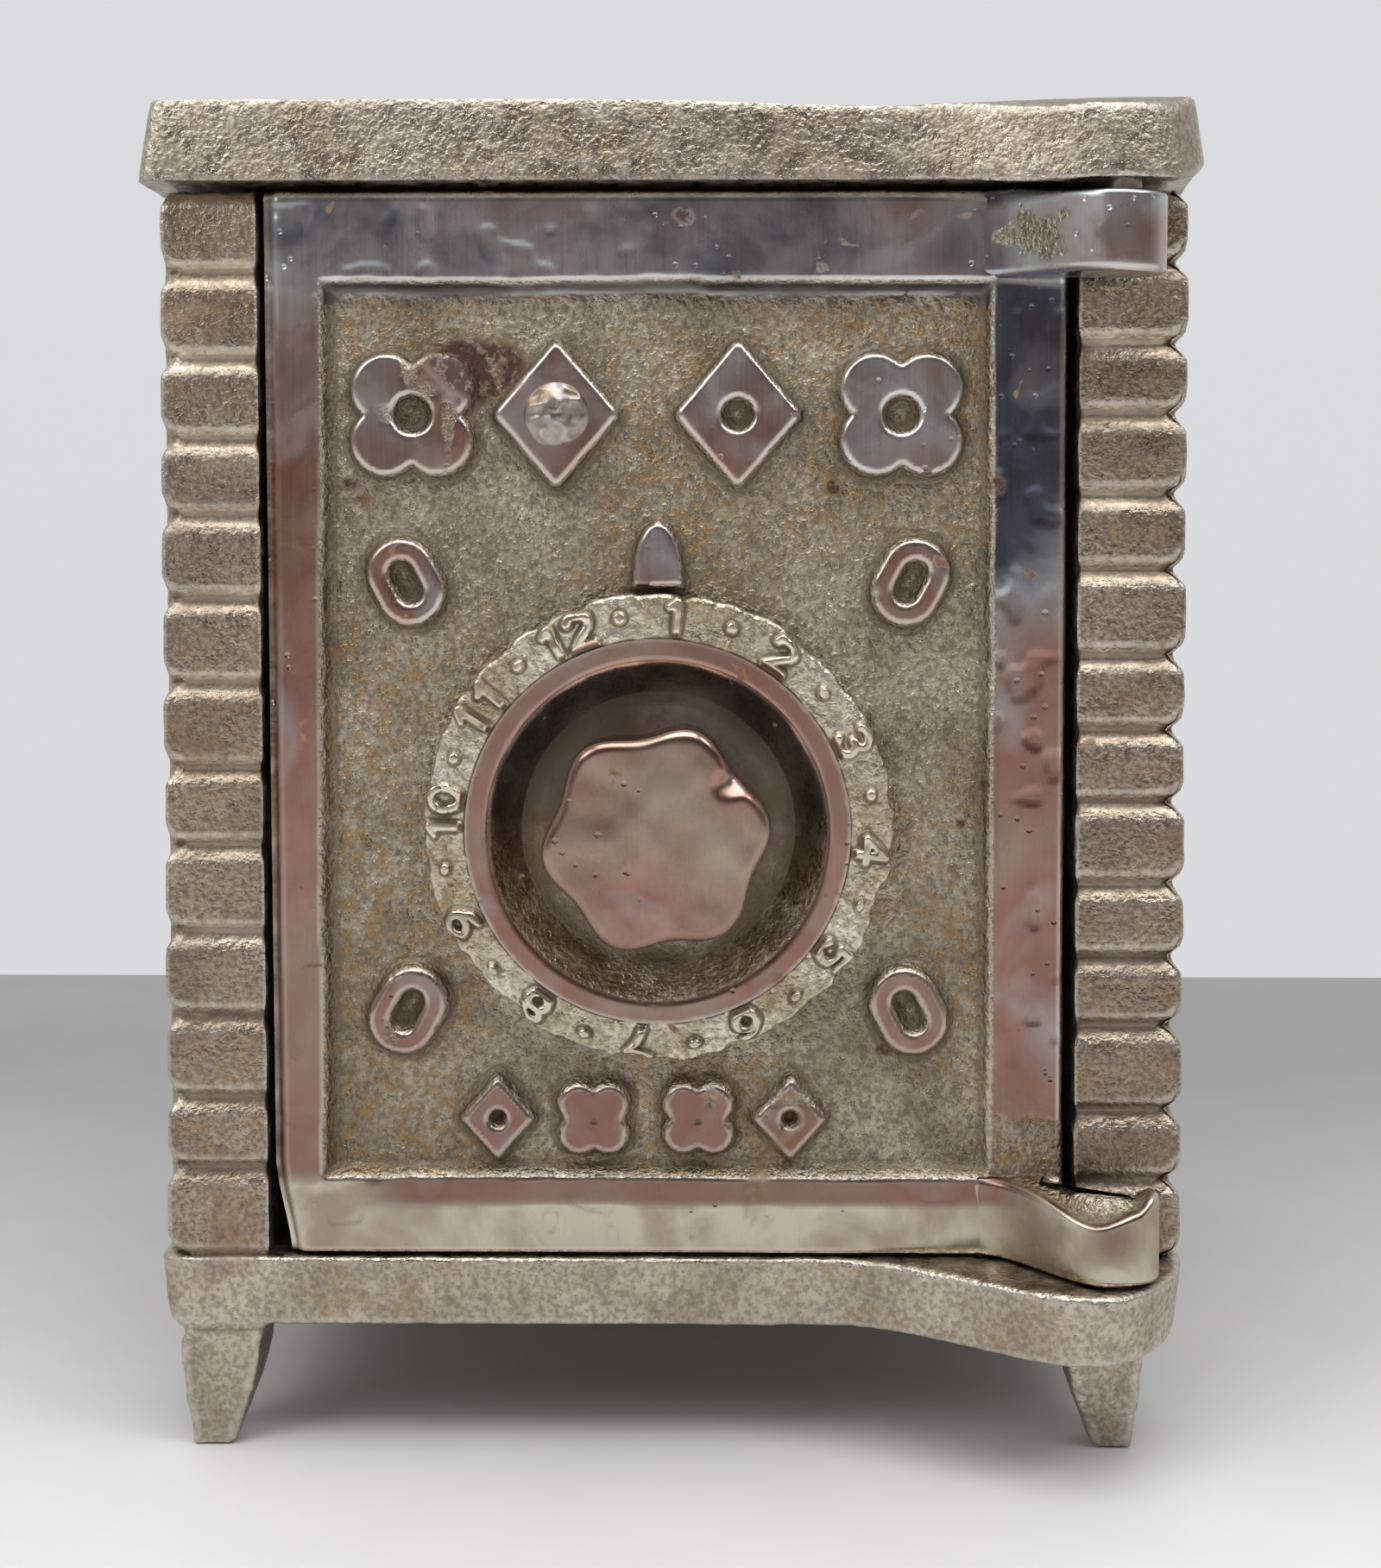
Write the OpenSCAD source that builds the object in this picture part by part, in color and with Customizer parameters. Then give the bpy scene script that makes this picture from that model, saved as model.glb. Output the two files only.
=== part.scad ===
/* [Case] */
// Width of the case over its corner columns
case_w = 76; // [74:0.5:80]
// Depth of the case over its side walls
case_d = 66; // [62:0.5:72]
// Height of the bank from the feet to the top
total_h = 101.6; // [101:0.1:106]
// Height of the feet under the base plate
feet_h = 9.7; // [8:0.1:10]
// Thickness of the base plate
base_t = 5.3; // [5:0.1:6]
// Thickness of the top slab
top_t = 6.1; // [5.5:0.1:7]
// Overhang of the top slab beyond the walls, front and back
top_over = 1.2; // [0.5:0.1:2]
// Stone courses up the left corner column
left_courses = 13; // [8:1:16]
// Stone courses up the right corner column
right_courses = 14; // [8:1:16]
// Front width of the left column
left_col_w = 7; // [6.5:0.1:7.2]
// Front width of the right column
right_col_w = 7.9; // [7.5:0.1:8.2]
// Length of the coin slot in the top slab
slot_l = 34; // [28:0.5:40]
// Width of the coin slot in the top slab
slot_w = 3.2; // [2.5:0.1:3.6]

/* [Door] */
// Thickness of the door plate
door_t = 4.4; // [4:0.1:4.6]
// Depth of the sunk door field below the polished border
field_depth = 1.3; // [1:0.1:1.5]
// Gap between the door and the left column
gap_left = 0.6; // [0.5:0.05:0.8]
// Gap between the door and the right column
gap_right = 0.8; // [0.6:0.05:1]
// Height of the four large relief ornaments
big_relief_h = 10.7; // [9:0.1:11]
// Height of the four small relief ornaments
small_relief_h = 6; // [5:0.1:6.2]

/* [Hinge] */
// Distance of the hinge line from the middle of the case
pivot_x = 32.4; // [32:0.1:33]
// Distance of the hinge line ahead of the columns
pivot_out = 4; // [3.8:0.1:4.4]
// Radius of the hinge knuckles
knuckle_r = 2.4; // [2.2:0.05:2.6]
// Radius of the hinge pins
pin_r = 1.2; // [1:0.05:1.4]
// Radial clearance of each hinge pin in the case
pin_clear = 0.07; // [0.03:0.01:0.09]

/* [Dial] */
// Height of the dial centre above the feet
dial_z = 47.2; // [46:0.1:48]
// Distance of the dial centre from the middle of the case
dial_x = -1; // [-1.5:0.1:-0.5]
// Outer radius of the number band
band_r = 17.6; // [17:0.1:18]
// Outer radius of the polished ring inside the number band
ring_r = 14.4; // [14:0.1:14.6]
// Radius of the mouth of the conical dish
dish_r = 12.7; // [12.3:0.1:12.9]
// Reach of the knob face ahead of the columns
knob_out = 6; // [5:0.1:7]
// Largest radius of the lobed knob
knob_r = 8.2; // [7.8:0.1:8.6]
// Radius of the spindle where it turns in the door
spindle_r = 2.5; // [2.3:0.1:2.7]

/* [Lock] */
// Radius of the lock disc behind the door
disc_r = 26; // [25:0.1:26.5]
// Thickness of the lock disc
disc_t = 2.2; // [2:0.1:2.4]
// Width of the gate cut in the lock disc
gate_w = 7; // [6.5:0.1:8]
// Height of the strike lug that the gate passes over
strike_h = 5; // [4:0.1:5.5]

/* [Hidden] */
$fn = 64;
eps = 0.01;

// Colours of the plated castings and the plain steel hardware
cast_colour = [0.58, 0.54, 0.47];
door_colour = [0.66, 0.60, 0.56];
dial_colour = [0.74, 0.70, 0.66];
steel_colour = [0.45, 0.45, 0.47];

// Swell of the base and of the top slab over the hinge
base_swell = 7.8;
top_swell = 5;
base_swell_from = 11;
top_swell_from = 16;

// Front to back: the whole bank, swell included, is centred on Y = 0
total_d = base_swell + case_d + top_over;
front_y = base_swell - total_d / 2;
back_y = front_y + case_d;
pivot_y = front_y - pivot_out;

// Levels
base_z = feet_h + base_t;
roof_z = total_h - top_t;
wall_h = roof_z - base_z;
column_h = wall_h - 1.3;

// Walls
half_w = case_w / 2;
base_half_w = half_w + 0.6;
top_half_w = half_w + 1.2;
clad_t = 3.1;
web_t = 2.5;
web_front = 4.4;
column_d = 7;
groove = 0.8;
back_t = 3;
back_inset = 0.6;
skin_t = 2.5;
left_panel_out = 0.9;
right_panel_out = 0.3;
left_quoin_d = 2;
right_quoin_d = 6;
panel_drop = 3.7;
curb_h = 2;
curb_t = 1.6;

// Tie screws
tie_x = 28.6;
tie_y = front_y + 38;
tie_r = 1.75;
tie_clear = 0.15;
tie_head_r = 3.2;
tie_head_h = 1.9;
boss_r = 3.6;
boss_h = 6;

// Door
door_front = front_y + 0.2;
door_back = door_front + door_t;
door_left = -half_w + left_col_w + gap_left;
door_right = half_w - right_col_w - gap_right;
door_low = base_z + 0.2;
door_high = roof_z - 1;
door_draft = 0.5;
field_left = door_left + 3.8;
field_right = door_right - 5.3;
field_low = door_low + 5.8;
field_high = door_high - 6.5;
field_y = door_front + field_depth;
lug_from = 22.6;
lug_h = 6;
pin_reach = 4;
relief_x = [-19.2, -8.5, 4.9, 17];
relief_z = 78;
small_relief_x = [-13, -5.8, 2, 8.9];
small_relief_z = 25.5;
oval_x = 18.7;
oval_rise = 16;
oval_w = 4.9;
oval_h = 6.4;
oval_tilt = 28;

// Dial, dish and lock, layer by layer from the front
ring_front = front_y - 0.8;
band_front = ring_front + 0.5;
band_back = field_y - 0.35;
dish_floor = ring_front + 3.2;
dish_back = dish_floor + 1.6;
dish_floor_r = 9.6;
hub_r = dish_r + 0.3;
pocket_clear = 0.5;
axial_clear = 0.25;
boss_front = dish_back + axial_clear;
boss_back = door_back + 3.3;
disc_front = boss_back + axial_clear;
disc_back = disc_front + disc_t;
washer_t = 0.6;
nut_t = 2.2;
stud_r = 1.8;
stud_end = disc_back + washer_t + nut_t + 0.5;
door_boss_r = 15.5;
spindle_clear = 0.06;

// Strike lug, gate and click notches
strike_front = door_back + 0.4;
strike_t = 2.6;
strike_tip = -24.5;
gate_floor = -21.8;
notch_r = 1.4;
notches = 12;

// Rivet and click spring
rivet_x = -8.5;
rivet_z = 78;
rivet_shank_r = 1.5;
spring_t = 0.6;
spring_w = 4;
spring_lift = sqrt(disc_r * disc_r - pow(rivet_x - dial_x, 2));
spring_nose_z = dial_z + spring_lift;
notch_angle = atan2(spring_lift, rivet_x - dial_x);

function ease(t) = (1 - cos(180 * t)) / 2;

// A cylinder along Y from y_from to y_to
module y_rod(x, z, y_from, y_to, r, r_end = -1) {
    translate([x, y_from, z])
        rotate([-90, 0, 0])
            cylinder(r1 = r, r2 = r_end < 0 ? r : r_end, h = y_to - y_from);
}

// A flat outline standing in the XZ plane, from y_from back to y_to
module relief(y_from, y_to) {
    translate([0, y_to, 0])
        rotate([90, 0, 0])
            linear_extrude(y_to - y_from)
                children();
}

// Outline of a plate whose right front corner swells out over the hinge
module swelled_outline(half, y_lo, y_hi, r, from_x, swell) {
    steps = 16;
    ear_r = half - pivot_x;
    ear_y = y_lo - swell + ear_r;
    run = pivot_x - from_x;
    translate([-half + r, y_lo])
        square([pivot_x + half - r, y_hi - y_lo]);
    translate([-half, y_lo + r])
        square([half + pivot_x, y_hi - y_lo - 2 * r]);
    translate([pivot_x - eps, ear_y])
        square([ear_r + eps, y_hi - r - ear_y]);
    translate([pivot_x - eps, y_hi - r - eps])
        square([ear_r - r + eps, r + eps]);
    for (corner = [[-half + r, y_lo + r], [-half + r, y_hi - r], [half - r, y_hi - r]])
        translate(corner)
            circle(r = r);
    translate([pivot_x, ear_y])
        circle(r = ear_r);
    polygon(concat(
        [for (i = [0:steps]) [from_x + run * i / steps, y_lo - swell * ease(i / steps)]],
        [[pivot_x, y_lo + r], [from_x, y_lo + r]]));
}

// A foot that tapers on all four sides, standing at one corner
module foot(sx, sy) {
    x_root = [base_half_w - 8.1, base_half_w - 0.9];
    x_tip = [half_w - 4.3, half_w - 1.6];
    y_mid = (front_y + back_y) / 2;
    y_root = [case_d / 2 - 7.4, case_d / 2 - 0.4];
    y_tip = [case_d / 2 - 4.4, case_d / 2 - 1.6];
    root_z = feet_h + 0.6;
    translate([0, y_mid, 0])
        scale([sx, sy, 1])
            intersection() {
                translate([0, case_d, 0])
                    rotate([90, 0, 0])
                        linear_extrude(case_d)
                            polygon([[x_tip[0], 0], [x_tip[1], 0],
                                     [x_root[1], root_z], [x_root[0], root_z]]);
                rotate([90, 0, 90])
                    linear_extrude(case_w)
                        polygon([[y_tip[0], 0], [y_tip[1], 0],
                                 [y_root[1], root_z], [y_root[0], root_z]]);
            }
}

// Base casting: swelled plate, hollow below, with four feet and a curb inside the walls
module base_plate() {
    curb_x = half_w - clad_t - web_t - 0.2;
    curb_y = back_y - back_inset - back_t - 0.2;
    curb_l = 40;
    color(cast_colour)
        difference() {
            union() {
                translate([0, 0, feet_h])
                    linear_extrude(base_t)
                        swelled_outline(base_half_w, front_y, back_y, 1.6, base_swell_from, base_swell);
                for (sx = [-1, 1], sy = [-1, 1])
                    foot(sx, sy);
                for (sx = [-1, 1])
                    translate([sx * (curb_x - curb_t / 2) - curb_t / 2, curb_y - curb_l, base_z - eps])
                        cube([curb_t, curb_l, curb_h + eps]);
                translate([-curb_x, curb_y - curb_t, base_z - eps])
                    cube([2 * curb_x, curb_t, curb_h + eps]);
            }
            difference() {
                translate([-half_w + 8.4, front_y + 3, feet_h - 1])
                    cube([case_w - 16.8, case_d - 6, base_t - skin_t + 1]);
                for (sx = [-1, 1])
                    translate([sx * tie_x, tie_y, feet_h + 2])
                        cylinder(r = tie_head_r + 1.2, h = base_t);
            }
            for (sx = [-1, 1])
                translate([sx * tie_x, tie_y, feet_h - 1]) {
                    cylinder(r = tie_r + tie_clear, h = base_t + curb_h + 2);
                    cylinder(r = tie_head_r + 0.3, h = base_t - skin_t + 1);
                }
            translate([pivot_x, pivot_y, base_z - pin_reach - 0.3])
                cylinder(r = pin_r + pin_clear, h = pin_reach + 1);
        }
}

// Top casting: swelled slab, hollow below, with the coin slot and two screw bosses
module top_plate() {
    color(cast_colour)
        difference() {
            union() {
                difference() {
                    translate([0, 0, roof_z])
                        linear_extrude(top_t)
                            swelled_outline(top_half_w, front_y - top_over, back_y + top_over, 1.2,
                                            top_swell_from, top_swell);
                    translate([-half_w + 6.4, front_y + 8, roof_z - 1])
                        cube([case_w - 12.8, case_d - 14, top_t - 3 + 1]);
                }
                for (sx = [-1, 1])
                    translate([sx * tie_x, tie_y, roof_z - boss_h])
                        cylinder(r = boss_r, h = boss_h + top_t / 2);
                for (sx = [-1, 1])
                    translate([sx * (tie_x + 1.1) - 1.1, tie_y - boss_r, roof_z])
                        cube([2.2, 2 * boss_r, top_t / 2]);
            }
            translate([-slot_l / 2, -slot_w / 2, roof_z - 1])
                cube([slot_l, slot_w, top_t + 2]);
            for (sx = [-1, 1])
                translate([sx * tie_x, tie_y, roof_z - boss_h - 1])
                    cylinder(r = tie_r, h = boss_h + 3.5);
            translate([pivot_x, pivot_y, roof_z - 1])
                cylinder(r = pin_r + pin_clear, h = pin_reach + 1.3);
        }
}

// A right-hand side wall: rusticated column, cladding with a raised panel, and the web behind
module side_wall(col_w, courses, panel_out, quoin_d) {
    web_x = half_w - clad_t;
    course_h = column_h / courses;
    difference() {
        union() {
            translate([half_w - col_w, front_y, base_z])
                cube([col_w, column_d, column_h]);
            translate([web_x, front_y, base_z])
                cube([clad_t, case_d, column_h]);
            translate([web_x - web_t, front_y + web_front, base_z])
                cube([web_t, case_d - web_front - back_t - back_inset - 0.1, wall_h]);
            translate([half_w - eps, front_y + quoin_d, base_z])
                cube([panel_out + eps, case_d - 2 * quoin_d, column_h - panel_drop]);
        }
        for (i = [1:courses - 1])
            translate([0, 0, base_z + i * course_h - groove / 2]) {
                translate([half_w - col_w - 1, front_y - 1, 0])
                    cube([col_w + 2, groove + 1, groove]);
                translate([half_w - groove, front_y - 1, 0])
                    cube([groove + 2, quoin_d + 1, groove]);
                translate([half_w - groove, back_y - quoin_d, 0])
                    cube([groove + 2, quoin_d + 1, groove]);
            }
    }
}

// Left wall, which carries the strike lug that holds the lock disc
module left_wall() {
    lug_z = dial_z - strike_h / 2;
    root_x = -half_w + left_col_w;
    color(cast_colour) {
        mirror([1, 0, 0])
            side_wall(left_col_w, left_courses, left_panel_out, left_quoin_d);
        translate([root_x - 1, strike_front, lug_z])
            cube([strike_tip - root_x + 1, strike_t, strike_h]);
        translate([-half_w + clad_t, strike_front, lug_z])
            cube([left_col_w - clad_t + 1.2, 8, strike_h]);
    }
}

module right_wall() {
    color(cast_colour)
        side_wall(right_col_w, right_courses, right_panel_out, right_quoin_d);
}

// Back wall between the side walls, with a raised border
module back_wall() {
    half = half_w - clad_t - 0.1;
    rim = 5;
    rim_out = 0.5;
    plate_y = back_y - back_inset - back_t;
    color(cast_colour)
        difference() {
            translate([-half, plate_y, base_z])
                cube([2 * half, back_t + rim_out, wall_h]);
            translate([-half + rim, plate_y + back_t, base_z + rim])
                cube([2 * half - 2 * rim, rim_out + 1, wall_h - 2 * rim]);
        }
}

// Long slotted screw that ties the base to the top
module tie_screw(sx) {
    seat_z = base_z - skin_t;
    color(steel_colour)
        translate([sx * tie_x, tie_y, 0])
            difference() {
                union() {
                    translate([0, 0, seat_z])
                        cylinder(r = tie_r, h = roof_z + 2 - seat_z);
                    translate([0, 0, seat_z - tie_head_h])
                        cylinder(r = tie_head_r, h = tie_head_h);
                }
                translate([-tie_head_r - 1, -0.4, seat_z - tie_head_h - 1])
                    cube([2 * tie_head_r + 2, 0.8, 1.9]);
            }
}

module tie_screw_left() {
    tie_screw(-1);
}

module tie_screw_right() {
    tie_screw(1);
}

// Plan of the arm that carries a hinge knuckle round the front of the right column
module lug_plan() {
    steps = 12;
    reach = pivot_out + knuckle_r + (door_front - front_y);
    run = pivot_x - 0.6 - lug_from;
    translate([pivot_x, pivot_y])
        circle(r = knuckle_r);
    polygon(concat(
        [for (i = [0:steps]) [lug_from + run * i / steps, door_front - reach * ease(i / steps)]],
        [[pivot_x + 0.4 * knuckle_r, pivot_y + 0.9 * knuckle_r],
         [door_right, front_y - 0.9],
         [door_right, door_back - 1],
         [lug_from, door_back - 1]]));
}

// Lozenge with an opening in its middle
module lozenge(w, h, hole) {
    difference() {
        polygon([[-w / 2, 0], [0, h / 2], [w / 2, 0], [0, -h / 2]]);
        if (hole > 0)
            circle(r = hole);
    }
}

// Four-lobed rosette with a round eye
module rosette(h, eye) {
    lobe = h / 4;
    difference() {
        for (a = [0:90:270])
            rotate(a + 45)
                translate([lobe * 1.1, 0])
                    circle(r = lobe);
        if (eye > 0)
            circle(r = eye);
    }
}

// Raised ornaments on the door field, all level with the border
module door_relief() {
    relief(door_front, field_y + 0.5) {
        for (i = [0:3])
            translate([relief_x[i], relief_z])
                if (i == 1 || i == 2)
                    lozenge(big_relief_h * 0.86, big_relief_h, i == 1 ? 0 : 1.6);
                else
                    rosette(big_relief_h * 0.92, 1.7);
        for (i = [0:3])
            translate([small_relief_x[i], small_relief_z])
                if (i == 1 || i == 2)
                    rosette(small_relief_h * 0.95, 0);
                else
                    lozenge(small_relief_h * 0.9, small_relief_h, 0.9);
        for (sx = [-1, 1], sz = [-1, 1])
            translate([dial_x + sx * oval_x, dial_z + 2.4 + sz * oval_rise])
                rotate(-sx * sz * oval_tilt)
                    difference() {
                        oval(oval_w, oval_h);
                        oval(oval_w - 2.6, oval_h - 2.6);
                    }
        translate([dial_x, dial_z + band_r + 0.6])
            polygon([[-1.7, 0], [1.7, 0], [1.2, 2.4], [0.5, 4.4], [-0.5, 4.4], [-1.2, 2.4]]);
    }
}

// Upright rounded slot shape
module oval(w, h) {
    for (sz = [-1, 1])
        translate([0, sz * (h - w) / 2])
            circle(r = w / 2);
    translate([-w / 2, -(h - w) / 2])
        square([w, h - w]);
}

// Door casting: bordered plate, hinge lugs, relief, and the boss that carries the dial
module door() {
    color(door_colour)
        difference() {
            union() {
                difference() {
                    translate([0, 0, door_low])
                        linear_extrude(door_high - door_low)
                            polygon([[door_left, door_front], [door_right, door_front],
                                     [door_right, door_back], [door_left + door_draft, door_back]]);
                    translate([field_left, door_front - 1, field_low])
                        cube([field_right - field_left, field_depth + 1, field_high - field_low]);
                }
                for (z = [door_low, door_high - lug_h])
                    translate([0, 0, z])
                        linear_extrude(lug_h)
                            lug_plan();
                door_relief();
                y_rod(dial_x, dial_z, door_back - 1, boss_back, door_boss_r);
            }
            y_rod(dial_x, dial_z, front_y - 2, boss_front, hub_r + pocket_clear);
            y_rod(dial_x, dial_z, front_y, boss_back + 1, spindle_r + spindle_clear);
            y_rod(rivet_x, rivet_z, door_front - 1, door_back + 1, rivet_shank_r);
            for (z = [door_low - 1, door_high - lug_h])
                translate([pivot_x, pivot_y, z])
                    cylinder(r = pin_r, h = lug_h + 1);
        }
}

module upper_hinge_pin() {
    color(steel_colour)
        translate([pivot_x, pivot_y, door_high - lug_h])
            cylinder(r = pin_r, h = roof_z + pin_reach - door_high + lug_h);
}

module lower_hinge_pin() {
    color(steel_colour)
        translate([pivot_x, pivot_y, base_z - pin_reach])
            cylinder(r = pin_r, h = door_low + lug_h - base_z + pin_reach);
}

// Peened rivet that fixes the click spring to the door
module door_rivet() {
    head_h = 1.1;
    color(steel_colour) {
        y_rod(rivet_x, rivet_z, door_front - head_h, door_front, 1.6, 2.5);
        y_rod(rivet_x, rivet_z, door_front, door_back + spring_t, rivet_shank_r);
        y_rod(rivet_x, rivet_z, door_back + spring_t, door_back + spring_t + 1, 2.2, 1.4);
    }
}

// Flat spring whose nose drops into the notches round the lock disc
module click_spring() {
    top_z = rivet_z + 3;
    bend_z = spring_nose_z + 2.2;
    color(steel_colour)
        difference() {
            union() {
                translate([rivet_x - spring_w / 2, door_back, bend_z])
                    cube([spring_w, spring_t, top_z - bend_z]);
                translate([rivet_x - spring_w / 2, door_back, bend_z])
                    cube([spring_w, disc_back - door_back, spring_t]);
                translate([rivet_x - spring_w / 2, disc_front + 0.2, spring_nose_z + 0.9])
                    cube([spring_w, disc_t - 0.4, bend_z - spring_nose_z - 0.9]);
                y_rod(rivet_x, spring_nose_z + 0.3, disc_front + 0.2, disc_back - 0.2, 1.1);
            }
            y_rod(rivet_x, rivet_z, door_back - 1, door_back + 2, rivet_shank_r);
        }
}

// Outline of the knob: six round lobes
module knob_outline() {
    lobe_r = 3.5;
    circle(r = knob_r - 0.9);
    for (a = [15:60:315])
        rotate(a)
            translate([knob_r - lobe_r, 0])
                circle(r = lobe_r);
}

// Dial casting: number band, polished ring, conical dish, lobed knob and spindle
module dial() {
    index_l = 2;
    color(dial_colour)
        union() {
            difference() {
                union() {
                    y_rod(dial_x, dial_z, band_front, band_back, band_r);
                    y_rod(dial_x, dial_z, ring_front, band_back, ring_r);
                    y_rod(dial_x, dial_z, band_back - 0.5, dish_back, hub_r);
                }
                y_rod(dial_x, dial_z, ring_front - eps, dish_floor, dish_r, dish_floor_r);
            }
            for (a = [5:30:335])
                translate([dial_x, 0, dial_z])
                    rotate([0, a, 0])
                        translate([-0.4, ring_front, ring_r + 0.6])
                            cube([0.8, 1, index_l]);
            translate([dial_x, 0, dial_z])
                relief(front_y - knob_out, dish_floor + 0.5)
                    knob_outline();
            y_rod(dial_x, dial_z, dish_back - 0.5, disc_front, spindle_r);
            y_rod(dial_x, dial_z, disc_front - 0.5, stud_end, stud_r);
        }
}

// Lock disc: twelve click notches round its rim and the gate that clears the strike lug
module lock_disc() {
    color(steel_colour)
        difference() {
            y_rod(dial_x, dial_z, disc_front, disc_back, disc_r);
            y_rod(dial_x, dial_z, disc_front - 1, disc_back + 1, stud_r);
            for (i = [0:notches - 1])
                translate([dial_x, disc_front - 1, dial_z])
                    rotate([0, -notch_angle - i * 360 / notches, 0])
                        translate([disc_r + 0.3, 0, 0])
                            y_rod(0, 0, 0, disc_t + 2, notch_r);
            translate([dial_x - disc_r - 1, disc_front - 1, dial_z - gate_w / 2])
                cube([gate_floor - dial_x + disc_r + 1, disc_t + 2, gate_w]);
        }
}

module dial_washer() {
    color(steel_colour)
        difference() {
            y_rod(dial_x, dial_z, disc_back, disc_back + washer_t, 4.2);
            y_rod(dial_x, dial_z, disc_back - 1, disc_back + washer_t + 1, stud_r + 0.05);
        }
}

module spindle_nut() {
    nut_front = disc_back + washer_t;
    color(steel_colour)
        difference() {
            translate([dial_x, nut_front, dial_z])
                rotate([-90, 0, 0])
                    cylinder(r = 3.7, h = nut_t, $fn = 6);
            y_rod(dial_x, dial_z, nut_front - 1, nut_front + nut_t + 1, stud_r);
        }
}

base_plate();
top_plate();
left_wall();
right_wall();
back_wall();
tie_screw_left();
tie_screw_right();
door();
upper_hinge_pin();
lower_hinge_pin();
door_rivet();
click_spring();
dial();
lock_disc();
dial_washer();
spindle_nut();
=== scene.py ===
"""Looks of the toy safe coin bank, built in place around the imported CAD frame.

Lengths are in millimetres, in the frame's own axes, until add_object() turns them into metres.
"""

import math

import bmesh
import bpy
import numpy as np
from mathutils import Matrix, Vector


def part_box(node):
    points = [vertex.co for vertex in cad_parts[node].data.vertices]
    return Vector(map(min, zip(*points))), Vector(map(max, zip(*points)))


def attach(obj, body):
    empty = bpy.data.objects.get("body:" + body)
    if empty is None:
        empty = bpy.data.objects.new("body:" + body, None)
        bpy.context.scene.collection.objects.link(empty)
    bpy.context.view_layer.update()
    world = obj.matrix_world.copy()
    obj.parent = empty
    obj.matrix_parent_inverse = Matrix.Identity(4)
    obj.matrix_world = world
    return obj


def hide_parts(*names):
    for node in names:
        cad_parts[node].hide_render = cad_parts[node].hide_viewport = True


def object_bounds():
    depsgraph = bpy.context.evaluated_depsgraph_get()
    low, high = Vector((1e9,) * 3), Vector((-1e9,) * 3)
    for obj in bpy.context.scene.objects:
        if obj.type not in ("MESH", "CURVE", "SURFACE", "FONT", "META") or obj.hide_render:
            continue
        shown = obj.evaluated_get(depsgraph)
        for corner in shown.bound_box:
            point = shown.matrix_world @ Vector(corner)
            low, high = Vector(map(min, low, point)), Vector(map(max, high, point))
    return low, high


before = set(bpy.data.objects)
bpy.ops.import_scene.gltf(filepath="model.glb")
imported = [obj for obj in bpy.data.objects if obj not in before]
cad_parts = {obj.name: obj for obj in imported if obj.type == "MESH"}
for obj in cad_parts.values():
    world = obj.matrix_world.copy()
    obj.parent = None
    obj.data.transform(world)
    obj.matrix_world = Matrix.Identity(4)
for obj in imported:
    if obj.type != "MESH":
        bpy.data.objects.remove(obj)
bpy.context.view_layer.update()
MM = 0.001


# -------------------- sizes, read from the frame
def box_mm(node):
    low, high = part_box(node)
    return np.array(low) / MM, np.array(high) / MM


WALL_LOW, WALL_HIGH = box_mm("right_wall")
DOOR_LOW, DOOR_HIGH = box_mm("door")
DIAL_LOW, DIAL_HIGH = box_mm("dial")
_, TOP_HIGH = box_mm("top_plate")
DISC_LOW, _ = box_mm("lock_disc")
PIN_LOW, PIN_HIGH = box_mm("upper_hinge_pin")
RIVET_LOW, RIVET_HIGH = box_mm("door_rivet")

FRONT = WALL_LOW[1]  # face of the corner columns
BACK = WALL_HIGH[1]
BASE_Z = WALL_LOW[2]  # top of the base plate
ROOF_Z = WALL_HIGH[2]  # underside of the top slab
HALF_W = 38.0  # half the width over the columns
PIVOT = (PIN_LOW + PIN_HIGH)[:2] / 2
BAND_R = (DIAL_HIGH[0] - DIAL_LOW[0]) / 2
DIAL_X = (DIAL_HIGH[0] + DIAL_LOW[0]) / 2
DIAL_Z = (DIAL_HIGH[2] + DIAL_LOW[2]) / 2
RIVET_X, _, RIVET_Z = (RIVET_LOW + RIVET_HIGH) / 2

# Base
BASE_UNDER = 9.7  # underside of the base plate
FOOT_TOP = 9.5
FOOT_X = 34.6  # middle of each foot, from the middle of the bank

# Side walls
COLUMN_TOP = ROOF_Z - 1.0
CLAD_T = 3.1
WEB_T = 2.5
COLUMN_D = 7.0
LEFT_COLUMN_W = 7.5
RIGHT_COLUMN_W = 8.1
WALL_ROWS = 268
PANEL_TOP = COLUMN_TOP - 3.7
PANEL_SIDE = 7.5  # from the front and back edges to the panel's sunk middle
PANEL_MARGIN = 5.0  # from its top and bottom edges
PANEL_SUNK = 0.55
STRIKE_HALF_H = 2.5

# Door
DOOR_FRONT = FRONT + 0.2
DOOR_T = 4.4
DOOR_BACK = DOOR_FRONT + DOOR_T
DOOR_LEFT = DOOR_LOW[0]
DOOR_RIGHT = WALL_LOW[0] - 0.8
DOOR_BOTTOM = DOOR_LOW[2]
DOOR_TOP = DOOR_HIGH[2]
FIELD_DEPTH = 1.3
FIELD_X = (DOOR_LEFT + 4.3, DOOR_RIGHT - 5.3)
FIELD_Z = (DOOR_BOTTOM + 5.8, DOOR_TOP - 6.5)
FIELD_Y = DOOR_FRONT + FIELD_DEPTH
LUG_FROM = 22.6
LUG_H = 6.0
UPPER_LUG_H = 6.5
LUG_EDGE_R = 0.6
LUG_CAP_INSET = 2.1  # how far in the rows of a lug's top and bottom go
KNUCKLE_R = 2.4

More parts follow.
